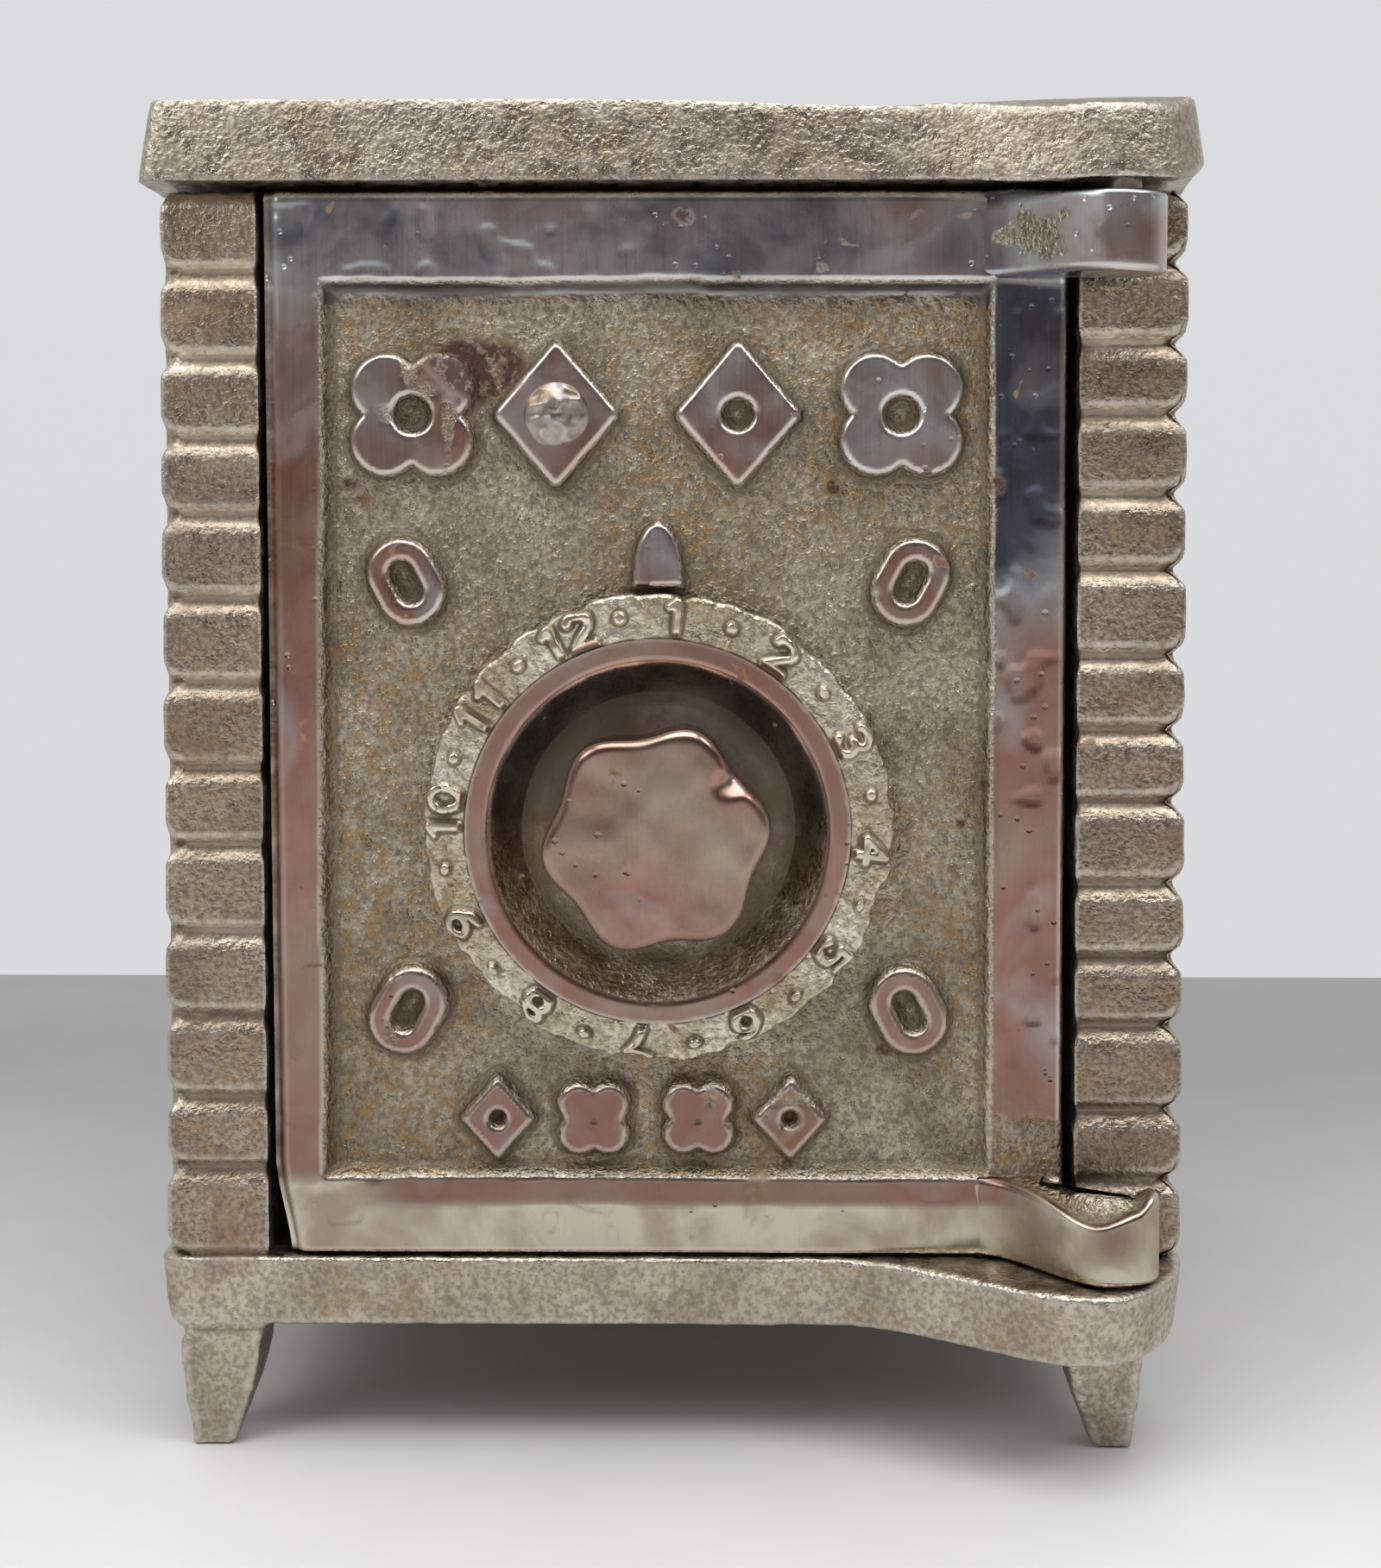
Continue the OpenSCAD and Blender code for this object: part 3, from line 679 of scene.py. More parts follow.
def shape_lower_pin(points):
    """The lower pin stops well inside its lug, below the scooped top."""
    x, y, z = points.T
    return np.stack([x, y, np.minimum(z, DOOR_BOTTOM + 3.6)], axis=-1)


# -------------------- door front
def lozenge(x, z, width, height):
    """Distance outside a lozenge."""
    a, b = width / 2, height / 2
    sides = (np.abs(x) * b + np.abs(z) * a - a * b) / math.hypot(a, b)
    return np.maximum.reduce([sides, np.abs(x) - 0.96 * a, np.abs(z) - 0.96 * b])


def rosette(x, z, height):
    """Distance outside four touching lobes."""
    lobe = height / 4
    reach = lobe * 1.1
    near = 1e9
    for k in range(4):
        a = math.radians(45 + 90 * k)
        near = np.minimum(near, np.hypot(x - reach * math.cos(a), z - reach * math.sin(a)) - lobe)
    return near


def oval(x, z, width, height, tilt):
    """Distance outside a tilted slot shape."""
    c, s = math.cos(math.radians(tilt)), math.sin(math.radians(tilt))
    across, along = c * x + s * z, -s * x + c * z
    half = (height - width) / 2
    return np.hypot(across, along - np.clip(along, -half, half)) - width / 2


def lancet(x, z, width, height):
    """Distance outside a pointed leaf that stands on z = 0."""
    t = np.clip(z / height, 0, 1)
    half = width / 2 * np.sqrt(np.clip(1 - t**2.2, 0, 1))
    return np.maximum(np.maximum(np.abs(x) - half, -z), (z - height) * 0.9)


NO_EYE = -99.0
BIG_Z, SMALL_Z = 78.0, 25.5
ORNAMENTS = (  # (x, z, shape, its size, radius of the eye in its middle)
    (-19.2, BIG_Z, rosette, (9.844,), 1.5),
    (-8.5, BIG_Z, lozenge, (9.202, 10.7), NO_EYE),
    (4.9, BIG_Z, lozenge, (9.202, 10.7), 1.35),
    (17.0, BIG_Z, rosette, (9.844,), 1.5),
    (-13.0, SMALL_Z, lozenge, (5.4, 6.0), 0.75),
    (-5.8, SMALL_Z, rosette, (5.7,), NO_EYE),
    (2.0, SMALL_Z, rosette, (5.7,), NO_EYE),
    (8.9, SMALL_Z, lozenge, (5.4, 6.0), 0.75),
)
OVAL_X, OVAL_RISE, OVAL_W, OVAL_H, OVAL_TILT = 18.7, 16.0, 4.9, 6.4, 28
OVAL_LIFT = 2.4  # the four ovals' middle is this far above the dial's
OVAL_RIM = 2.8  # twice the width of an oval's rim
POINTER_W, POINTER_H = 3.4, 4.6


def ornament_distance(x, z):
    """Distance outside the nearest raised ornament of the door field."""
    shapes = []
    for at_x, at_z, shape, size, eye in ORNAMENTS:
        dx, dz = x - at_x, z - at_z
        shapes.append(np.maximum(shape(dx, dz, *size), eye - np.hypot(dx, dz)))
    for sx in (-1, 1):
        for sz in (-1, 1):
            dx, dz = x - DIAL_X - sx * OVAL_X, z - DIAL_Z - OVAL_LIFT - sz * OVAL_RISE
            tilt = -sx * sz * OVAL_TILT
            ring = oval(dx, dz, OVAL_W, OVAL_H, tilt)
            shapes.append(np.maximum(ring, -oval(dx, dz, OVAL_W - OVAL_RIM, OVAL_H - OVAL_RIM, tilt)))
    shapes.append(lancet(x - DIAL_X, z - DIAL_Z - BAND_R - 0.6, POINTER_W, POINTER_H))
    return np.minimum.reduce(shapes)


STAIN_X, STAIN_Z = -14.2, 82.0  # the large dark rust stain between the first two ornaments
STAIN_DOTS = ((24.0, 72.5, 0.9), (23.4, 50.5, 0.7), (-24.0, 73.0, 0.7), (12.0, 72.6, 0.8), (7.4, 58.0, 0.6),
              (1.0, 92.6, 0.8), (21.6, 47.6, 0.5), (-2.3, 83.0, 0.5), (16.0, 30.6, 0.6))


def door_left_edge(z):
    """The left edge, which leans in over the last few millimetres at the bottom."""
    lean = 1.15 * smoothstep(DOOR_BOTTOM + 7.5, DOOR_BOTTOM - 0.5, z)
    return DOOR_LEFT + 0.25 + lean + 0.5 * (DOOR_TOP - z) / (DOOR_TOP - DOOR_BOTTOM)


def rail_tarnish(places):
    """Grey of the top border and its lug: tarnish with a painted reflection."""
    return 0.81 + 0.09 * noise(places, 6, 51)


def door_surface(x, z):
    """(depth behind the border's face, polish, tarnish with painted reflection and painted shade, stain) of
    the door's front at each place.
    """
    places = flat_points(x, z)
    wobble = 0.12 * noise(places, 6, 41) + 0.05 * noise(places, 1.5, 42)
    in_field_x = np.minimum(x - FIELD_X[0], FIELD_X[1] - x)
    in_field = np.minimum(in_field_x, np.minimum(z - FIELD_Z[0], FIELD_Z[1] - z)) + wobble
    border = 1 - smoothstep(-0.05, 1.0, in_field)
    fillet = 0.12 * np.exp(-np.maximum(in_field - 0.6, 0) / 1.1)
    away = ornament_distance(x, z) + 0.5 * wobble
    raised = 1 - smoothstep(-0.12, 0.62, away)
    skirt = 0.16 * np.exp(-np.maximum(away, 0) / 0.9)
    field = FIELD_DEPTH - np.maximum(fillet, skirt)
    crust = 0.6 + 1.1 * np.exp(-np.maximum(in_field - 0.8, 0) / 0.9)
    crust = crust + 0.5 * np.exp(-np.maximum(away, 0) / 0.8)
    field = field - crust * as_cast(places, 43) - 0.05 * noise(places, 0.5, 44) - 0.06 * noise(places, 5, 47)
    pits = smoothstep(0.42, 0.62, noise(places, 1.5, 45)) * smoothstep(0.0, 0.4, noise(places, 9, 46))
    top = 0.03 + 0.07 * pits
    height = np.maximum(border, raised)
    depth = field * (1 - height) + top * height

    # The hinge-side rail lies a little lower between the lugs
    rail = smoothstep(FIELD_X[1] - 0.4, FIELD_X[1] + 0.1, x)
    rail = rail * smoothstep(FIELD_Z[0] - 0.3, FIELD_Z[0] + 0.2, z)
    rail = rail * smoothstep(FIELD_Z[1] + 0.3, FIELD_Z[1] - 0.2, z)
    depth = depth + 0.45 * rail

    # Hand grinding leaves the border slightly wavy and rolls its edges over
    depth = depth + border * (0.05 * noise(places, 13, 48) + 0.012 * noise(places, 4, 49) + 0.06)
    left = x - door_left_edge(z)
    depth = depth + 0.55 * smoothstep(1.15, 0.0, left)
    for inside, radius in ((DOOR_RIGHT - x, 0.6), (DOOR_TOP - z, 0.8), (z - DOOR_BOTTOM, 0.7)):
        short = np.clip(radius - inside, 0, radius)
        depth = depth + 0.8 * (radius - np.sqrt(radius**2 - short**2))

    polish = np.maximum(smoothstep(0.25, -0.1, in_field), smoothstep(0.18, -0.1, away) * (1 - 0.8 * pits))
    # Painted reflection: tarnish rises with height, greyer towards the top and dark navy up the hinge-side
    # rail.
    tarnish_and_painted_shading = 0.50 + 0.08 * noise(places, 8, 50) + 0.17 * smoothstep(50, 78, z)
    tarnish_and_painted_shading = tarnish_and_painted_shading + 0.5 * smoothstep(52, 84, z) * smoothstep(20, 24, x)
    high = smoothstep(FIELD_Z[1] - 2.2, FIELD_Z[1] - 0.2, z + noise(places, 3, 54))
    tarnish_and_painted_shading = tarnish_and_painted_shading + high * (rail_tarnish(places) - tarnish_and_painted_shading)  # the grey top border
    strip = smoothstep(-24, -18, x) * smoothstep(26, 21, x)
    strip = strip * smoothstep(FIELD_Z[0] - 2.2, FIELD_Z[0] - 1.5, z)
    # Painted reflection: the bottom border is made bright, close to GLINT, with a salmon strip along its top.
    low = smoothstep(FIELD_Z[0] + 0.9, FIELD_Z[0] - 0.6, z + 0.8 * noise(places, 3, 55))
    tarnish_and_painted_shading = tarnish_and_painted_shading + low * (0.04 + 0.48 * strip - tarnish_and_painted_shading)
    rough_end = smoothstep(FIELD_Z[0] + 5.2, FIELD_Z[0] + 4.2, z + 0.6 * noise(places, 1.5, 56)) * rail
    polish = polish * (1 - 0.85 * rough_end)
    # Painted shadow: a polished, dark navy band along the top of the field, under the top border.
    painted_overhang_shadow = smoothstep(0.15, 0.4, in_field) * smoothstep(1.7, 0.8, in_field) * (z > FIELD_Z[1] - 2)
    polish, tarnish_and_painted_shading = np.maximum(polish, 0.85 * painted_overhang_shadow), np.maximum(tarnish_and_painted_shading, painted_overhang_shadow)
    near = np.hypot((x - STAIN_X) / 4.2, (z - STAIN_Z) / 3.2) + 0.35 * noise(places, 2.0, 52)
    stain = smoothstep(1.0, 0.55, near)
    for dot_x, dot_z, size in STAIN_DOTS:
        near = np.hypot(x - dot_x, z - dot_z) / size + 0.4 * noise(places, 0.8, 53)
        stain = np.maximum(stain, smoothstep(1.0, 0.5, near))
    return depth, polish, np.clip(tarnish_and_painted_shading, 0, 1), stain


def revolve(profile, columns, centre_x, centre_z):
    """Rings round a front-to-back axis from (radius, y) pairs."""
    a = circle(columns)
    r, y = np.array(profile).T[:, :, None]
    return round_points(r, a, y + 0 * a, centre_x, centre_z)


def door_plate(skin):
    """The plate: a detailed front, plain edges and a flat back, with the dial's pocket cut through."""
    columns, rows = 240, 318
    u = np.linspace(0, 1, columns)[None, :]
    z = np.linspace(DOOR_BOTTOM, DOOR_TOP, rows)[:, None] + 0 * u
    left = door_left_edge(z)
    x = left + u * (DOOR_RIGHT - left)
    depth, polish, tarnish_and_painted_shading, stain = door_surface(x, z)
    y = DOOR_FRONT + depth
    radius = np.hypot(x - DIAL_X, z - DIAL_Z)
    points = flat_points(x, y, z).reshape(-1, 3)
    faces = np.array(strip_faces(rows, columns, False))
    inside = (radius < POCKET_R + 0.05).ravel()
    kept = faces[~inside[faces].any(axis=1)]
    rim = np.unique(faces[inside[faces].any(axis=1)])
    rim = rim[~inside[rim]]
    rim = rim[np.isin(rim, kept)]
    scale = (POCKET_R + 0.15) / radius.ravel()[rim]  # the cut edge is pulled onto the pocket's circle
    points[rim, 0] = DIAL_X + (points[rim, 0] - DIAL_X) * scale
    points[rim, 2] = DIAL_Z + (points[rim, 2] - DIAL_Z) * scale

    mesh = bmesh.new()
    used = np.unique(kept)
    where = {}
    layers = [mesh.verts.layers.float.new(name) for name in LAYERS]
    values = np.stack([polish.ravel(), tarnish_and_painted_shading.ravel(), stain.ravel()], axis=-1)
    for i in used.tolist():
        vertex = mesh.verts.new(points[i])
        for layer, value in zip(layers, values[i].tolist()):
            vertex[layer] = value
        where[i] = vertex
    for quad in kept.tolist():
        mesh.faces.new([where[i] for i in quad])
    edge = [e for e in mesh.edges if e.is_boundary]
    made = bmesh.ops.extrude_edge_only(mesh, edges=edge)["geom"]
    back = [v for v in made if isinstance(v, bmesh.types.BMVert)]
    for vertex in back:
        vertex.co.y = DOOR_BACK
        vertex[layers[0]] = 0.0
    back_set = set(back)
    loops = [e for e in mesh.edges if e.is_boundary and e.verts[0] in back_set and e.verts[1] in back_set]
    bmesh.ops.triangle_fill(mesh, edges=loops, use_beauty=True, normal=(0, 1, 0))
    mesh.verts.index_update()
    co = np.array([v.co[:] for v in mesh.verts])
    all_faces = [[v.index for v in f.verts] for f in mesh.faces]
    kept_values = [[v[layer] for v in mesh.verts] for layer in layers]
    mesh.free()
    start = skin.count
    skin.add(co, [[i + start for i in f] for f in all_faces], *kept_values)


def door_lug(skin, low, high, scooped):
    """An arm that swings forward off the border and ends in the hinge knuckle; the lower one is scooped."""
    end_x = PIVOT[0] + KNUCKLE_R + 0.6
    front_y = PIVOT[1] - KNUCKLE_R
    start, turn = LUG_FROM, PIVOT[0] - 1.0
    t = np.linspace(0, 1, 50)
    face_y = DOOR_FRONT + 0.12
    front = np.stack([start + (turn - start) * t, face_y + (front_y - face_y) * ease(t)], axis=-1)
    a = np.linspace(-math.pi / 2 + 0.15, math.radians(58), 26)
    round_x = (end_x - turn) * np.cos(a) + turn
    round_y = PIVOT[1] + KNUCKLE_R * np.sin(a)
    inner_x, inner_y = DOOR_RIGHT - 0.05, DOOR_BACK - 1
    back = np.array([[inner_x, FRONT - 0.9], [inner_x, inner_y], [start, inner_y]])
    knuckle = np.stack([round_x, round_y], axis=-1)
    sides = [knuckle[-1] + (back[0] - knuckle[-1]) * k / 12 for k in range(1, 12)]
    plan = np.concatenate([front, knuckle, sides, back])
    out = outward(plan)
    radius = LUG_EDGE_R
    angles = np.linspace(0, math.pi / 2, 6)
    rows = [(low + radius * (1 - math.sin(a)), radius * (1 - math.cos(a))) for a in angles[::-1]]
    rows += [(z, 0.0) for z in np.linspace(low + radius, high - radius, 16)[1:-1]]
    rows += [(high - radius * (1 - math.sin(a)), radius * (1 - math.cos(a))) for a in angles]
    rows += [(high, inset) for inset in np.linspace(radius, LUG_CAP_INSET, 6)[1:]]
    rings = []
    for z, inset in rows:
        x, y = (plan - out * inset).T
        level = np.clip((z - low) / (high - low), 0, 1)
        if scooped:
            at_front = smoothstep(FRONT - 0.5, FRONT - 3.0, y)
            scoop = 1.15 * bell(x, 30.4, 2.4) * at_front + 0.35 * smoothstep(23, 28, x)
            scoop = scoop - 0.9 * smoothstep(33.6, 35.0, x)
        else:
            scoop = smoothstep(24, 30, x)
            z = z - 0.4 * smoothstep(26, 33, x) * (1 - level)
        kept = 1 - smoothstep(radius, LUG_CAP_INSET, inset) if scooped else 1.0
        height = z - scoop * level**2 * kept
        dent = 0.05 * noise(flat_points(x, y, z), 3.5, 61)
        rings.append(flat_points(x + out[:, 0] * dent, y + out[:, 1] * dent, height))
    rings = np.array(rings)
    x, y, z = np.moveaxis(rings, -1, 0)
    on_top = (np.arange(len(rows)) > len(rows) - 6)[:, None]
    if scooped:
        # Painted reflection: the lower lug is bright like the bottom border, with the border's salmon strip
        # and a salmon spot.
        strip = smoothstep(27, 23, x) * smoothstep(high - 2.2, high - 1.5, z)
        spot = np.exp(-(((x - 31.8) / 1.4) ** 2 + ((z - high + 2.6) / 1.6) ** 2))
        tarnish_and_painted_shading = 0.04 + 0.48 * strip + 0.42 * spot
    else:
        # Painted shadow: the upper lug darkens towards its top, under the top slab.
        tarnish_and_painted_shading = rail_tarnish(flat_points(x, z)) + 0.3 * smoothstep(high - 1.8, high - 0.3, z)
    bare = np.hypot((x - 26.3) / 2.6, (z - high + 3.7) / 1.9) + 0.5 * noise(rings, 1.0, 64)
    bare = on_top * (y < FRONT) if scooped else smoothstep(1.0, 0.6, bare)
    skin.loft(rings, 0.95 - 0.9 * bare, np.clip(tarnish_and_painted_shading, 0, 1))


def door_skin():
    """Plate, lugs, and the cup behind the dial with the spindle's bore."""
    skin = Skin()
    door_plate(skin)
    door_lug(skin, DOOR_TOP - UPPER_LUG_H, DOOR_TOP, scooped=False)
    door_lug(skin, DOOR_BOTTOM, DOOR_BOTTOM + LUG_H, scooped=True)
    cup = [
        (POCKET_R, FIELD_Y + 0.35),
        (POCKET_R, POCKET_FLOOR - 0.3),
        (POCKET_R - 0.3, POCKET_FLOOR),
        (BORE_R + 0.2, POCKET_FLOOR),
        (BORE_R, POCKET_FLOOR + 0.2),
        (BORE_R, BOSS_BACK - 0.3),
        (BORE_R + 0.3, BOSS_BACK),
        (BOSS_R - 0.8, BOSS_BACK),
        (BOSS_R - 0.25, BOSS_BACK - 0.25),
        (BOSS_R, BOSS_BACK - 0.8),
        (BOSS_R, DOOR_BACK - 0.6),
        (POCKET_R + 0.9, DOOR_BACK - 0.6),
        (POCKET_R + 0.9, FIELD_Y + 0.35),
    ]
    skin.loft(revolve(cup, 180, DIAL_X, DIAL_Z), caps=False)
    return skin.build("door_skin", "door", ["door"], DOOR_METAL, sharp=55)


# -------------------- dial
def arc(cx, cy, rx, ry, start, end, steps=9):
    a = np.radians(np.linspace(start, end, steps))
    return list(zip(cx + rx * np.cos(a), cy + ry * np.sin(a)))


FIGURES = {
    "0": [arc(0, 0.5, 0.40, 0.5, 0, 360, 17)],
    "1": [[(-0.22, 0.78), (0.06, 1.0), (0.06, 0.0)]],
    "2": [arc(0, 0.70, 0.40, 0.30, 165, -35) + [(-0.42, 0.0), (0.44, 0.0)]],
    "3": [arc(-0.02, 0.74, 0.38, 0.26, 150, -90) + arc(0, 0.25, 0.42, 0.26, 85, -150)],
    "4": [[(0.18, 0.0), (0.18, 1.0), (-0.44, 0.3), (0.46, 0.3)]],
    "5": [[(0.38, 1.0), (-0.30, 1.0), (-0.34, 0.56)] + arc(0, 0.32, 0.42, 0.33, 130, -145)],
    "6": [arc(0, 0.3, 0.40, 0.30, 0, 360, 15), [(0.30, 0.96), (-0.12, 0.82), (-0.36, 0.5), (-0.40, 0.3)]],
    "7": [[(-0.42, 1.0), (0.42, 1.0), (-0.10, 0.0)]],
    "8": [arc(0, 0.75, 0.33, 0.25, 0, 360, 15), arc(0, 0.26, 0.42, 0.27, 0, 360, 15)],
    "9": [arc(0, 0.7, 0.40, 0.30, 0, 360, 15), [(-0.30, 0.04), (0.12, 0.18), (0.36, 0.5), (0.40, 0.7)]],
}
FIGURE_W, FIGURE_H, FIGURE_PITCH = 1.95, 2.45, 2.2
FIGURE_FOOT = 0.35  # from the polished ring to the foot of each figure
STROKE = 0.31
FIRST_FIGURE = 5.0  # degrees clockwise from the top


def stroke_distance(x, y, stroke):
    """Distance from a run of straight strokes."""
    near = np.full(np.shape(x), 9.0)
    for (ax, ay), (bx, by) in zip(stroke, stroke[1:]):
        dx, dy = bx - ax, by - ay
        t = np.clip(((x - ax) * dx + (y - ay) * dy) / (dx * dx + dy * dy + 1e-12), 0, 1)
        near = np.minimum(near, np.hypot(x - ax - t * dx, y - ay - t * dy))
    return near


def figures_relief(radius, clockwise):
    """Height, 0 to 1, of the figures 1 to 12 and the pips between them, on the number band."""
    height = np.zeros(radius.shape)
    clockwise = clockwise + 0 * radius
    for number in range(1, 13):
        turn = (clockwise - math.radians(FIRST_FIGURE + 30 * (number - 1)) + np.pi) % (2 * np.pi) - np.pi
        sideways = turn * (RING_R + 1.5)
        upward = radius - RING_R - FIGURE_FOOT
        near = np.full(radius.shape, 9.0)
        close = np.abs(sideways) < 3
        text = str(number)
        for k, figure in enumerate(text):
            shift = (k - (len(text) - 1) / 2) * FIGURE_PITCH
            for stroke in FIGURES[figure]:
                placed = [(shift + px * FIGURE_W, py * FIGURE_H) for px, py in stroke]
                near[close] = np.minimum(near[close], stroke_distance(sideways[close], upward[close], placed))
        pip_turn = (turn - math.radians(15) + np.pi) % (2 * np.pi) - np.pi
        pip = np.hypot(pip_turn * (RING_R + 1.6), radius - RING_R - 1.6) - 0.12
        near = np.minimum(near, np.maximum(pip, 0))
        height = np.maximum(height, 1 - smoothstep(STROKE * 0.7, STROKE * 1.6, near))
    return height


def dial_face(skin):
    """Dish, polished ring, ragged number band, hub and spindle, as one turned profile."""
    a = circle(760)
    clockwise = (np.pi / 2 - a)[None, :]
    lip = 0.35
    dish = [(5.0, DISH_FLOOR), (DISH_FLOOR_R - 0.6, DISH_FLOOR), (DISH_FLOOR_R + 0.1, DISH_FLOOR - 0.2)]
    slope = [(DISH_FLOOR_R + (DISH_R - DISH_FLOOR_R) * t, DISH_FLOOR + (RING_FRONT - DISH_FLOOR) * t)
             for t in np.linspace(0.16, 0.94, 12)]
    ring = [(DISH_R + 0.02, RING_FRONT + 0.06), (DISH_R + 0.14, RING_FRONT)]
    ring += [(r, RING_FRONT) for r in np.linspace(DISH_R + 0.4, RING_R - 0.15, 6)]
    band = [(r, BAND_FRONT) for r in np.linspace(RING_R, BAND_R - lip, 26)]
    rim = [(BAND_R - lip + lip * math.sin(t), BAND_FRONT + lip * (1 - math.cos(t))) for t in (0.5, 1.0, 1.57)]
    rear = [(BAND_R, BAND_BACK - 0.3), (BAND_R - 0.3, BAND_BACK), (HUB_R + 0.2, BAND_BACK)]
    rear += [(HUB_R, BAND_BACK + 0.2), (HUB_R, DISH_BACK - 0.4), (HUB_R - 0.4, DISH_BACK)]
    rear += [(SPINDLE_R + 0.3, DISH_BACK), (SPINDLE_R, DISH_BACK + 0.2), (SPINDLE_R, DISC_LOW[1] - 0.01)]
    rear += [(STUD_R, DISC_LOW[1]), (STUD_R, DIAL_HIGH[1] - 0.3), (STUD_R - 0.3, DIAL_HIGH[1])]
    profile = dish + slope + ring + band + rim + rear
    r, y = np.array(profile).T[:, :, None] + 0 * a
    dish_rows = len(dish) + len(slope)
    first = dish_rows + len(ring)
    on_band = np.zeros(len(profile), bool)
    on_band[first:first + len(band) + len(rim)] = True
    on_band = on_band[:, None]

    places = round_points(r, a, y)
    relief = np.where(on_band, figures_relief(r, clockwise), 0)
    around = flat_points(BAND_R * np.cos(a), BAND_R * np.sin(a))
    # the band's rim is ragged, more so at the foot, and its inner edge is bitten
    ragged = 0.30 * noise(around, 1.5, 71) + 0.14 * noise(around, 0.7, 72) + 0.34
    ragged = ragged - 0.35 * np.sin(a)
    outer = smoothstep(RING_R + 1.2, BAND_R, r) * (y < BAND_BACK + 0.01)
    r = r - np.maximum(ragged, -0.1)[None, :] * outer
    bite = 0.28 * np.maximum(noise(around, 0.9, 78), 0) + 0.10
    r = r - bell(r, RING_R, 0.5) * bite[None, :] * on_band
    sink = smoothstep(RING_R - 0.1, RING_R + 0.5, r) * on_band
    lumps = 0.07 * noise(places, 0.9, 79) * on_band
    y = y - 0.25 * on_band - sink * relief * 0.6 + (lumps - 0.8 * as_cast(places, 73) - 0.06) * sink
    row = np.arange(len(profile))[:, None]
    on_ring = (row >= dish_rows) & (row < first + 1)
    y = y + on_ring * (0.02 * noise(places, 5, 74) + 0.02)
    in_dish = row < dish_rows
    y = y + in_dish * (0.05 * noise(places, 1.6, 75))
    worn = 0.45 * smoothstep(0.05, 0.4, noise(places, 1.6, 80))
    polish = np.where(on_ring, 1.0, 0.0) + on_band * np.maximum(smoothstep(0.30, 0.7, relief), worn)
    # Painted shade: the dish's upper half is made polished and dark navy, its lower half light as cast.
    dish_painted_shade = smoothstep(-0.75, 0.2, np.sin(a))
    polish = polish + in_dish * 0.75 * dish_painted_shade
    tarnish_and_painted_shading = np.where(on_ring, 0.47 + 0.06 * noise(places, 7, 76), 0.0)
    shade = 0.12 + 0.8 * dish_painted_shade + 0 * r
    tarnish_and_painted_shading = np.where(in_dish, shade + 0.10 * noise(places, 5, 77), tarnish_and_painted_shading)
    rings = round_points(r, a, y, DIAL_X, DIAL_Z)
    skin.loft(rings, np.clip(polish, 0, 1).ravel(), np.clip(tarnish_and_painted_shading, 0, 1).ravel())


def knob(skin):
    """Six-lobed knob with a flat, slightly dished face and rolled edges."""
    a = circle(300)
    lobes = KNOB_R + 0.15 + KNOB_LOBE * np.cos(6 * (a - math.radians(9)))
    lobes = lobes + 0.12 * noise(flat_points(7 * np.cos(a), 7 * np.sin(a)), 4, 81)
    roll = 0.8
    rows = [(0.86, DISH_FLOOR + 0.4), (0.84, DISH_FLOOR - 0.3), (0.83, DISH_FLOOR - 1.2)]
    rows += [(0.83 + 0.17 * ease(t), DISH_FLOOR - 1.2 - 2.6 * t) for t in np.linspace(0.1, 1, 10)]
    side_end = KNOB_FRONT + roll
    rows += [(1.0, y) for y in np.linspace(DISH_FLOOR - 4.1, side_end, 5)]
    rows += [(1 - roll / KNOB_R * (1 - math.cos(t)), side_end - roll * math.sin(t))
             for t in np.linspace(0.2, math.pi / 2, 9)]
    edge = rows[-1][0]
    rows += [(edge * k, KNOB_FRONT) for k in np.linspace(0.97, 0.04, 30)]
    grow, y = np.array(rows).T[:, :, None] + 0 * a
    r = grow * lobes
    places = round_points(r, a, y)
    face = smoothstep(DISH_FLOOR - 4, KNOB_FRONT + 0.4, y)
    y = y + face * (0.10 + 0.08 * noise(places, 4, 82) + 0.035 * noise(places, 1.7, 83))
    across = (a - math.radians(40)) * 6.5 + 0.4 * noise(places, 1.2, 86)
    nick = bell(across, 0, 0.75) * smoothstep(5.2, 7.0, r)
    y = y + 0.75 * nick * face
    r = r + 0.05 * noise(places, 1.7, 84) * (1 - face)
    tarnish_and_painted_shading = np.clip(0.42 + 0.24 * noise(places, 5, 85), 0, 1)
    rings = round_points(r, a, y, DIAL_X, DIAL_Z)
    skin.loft(rings, 0.95, tarnish_and_painted_shading.ravel())


def dial_skin():
    skin = Skin()
    dial_face(skin)
    knob(skin)
    return skin.build("dial_skin", "dial", ["dial"], DIAL_METAL, sharp=50)


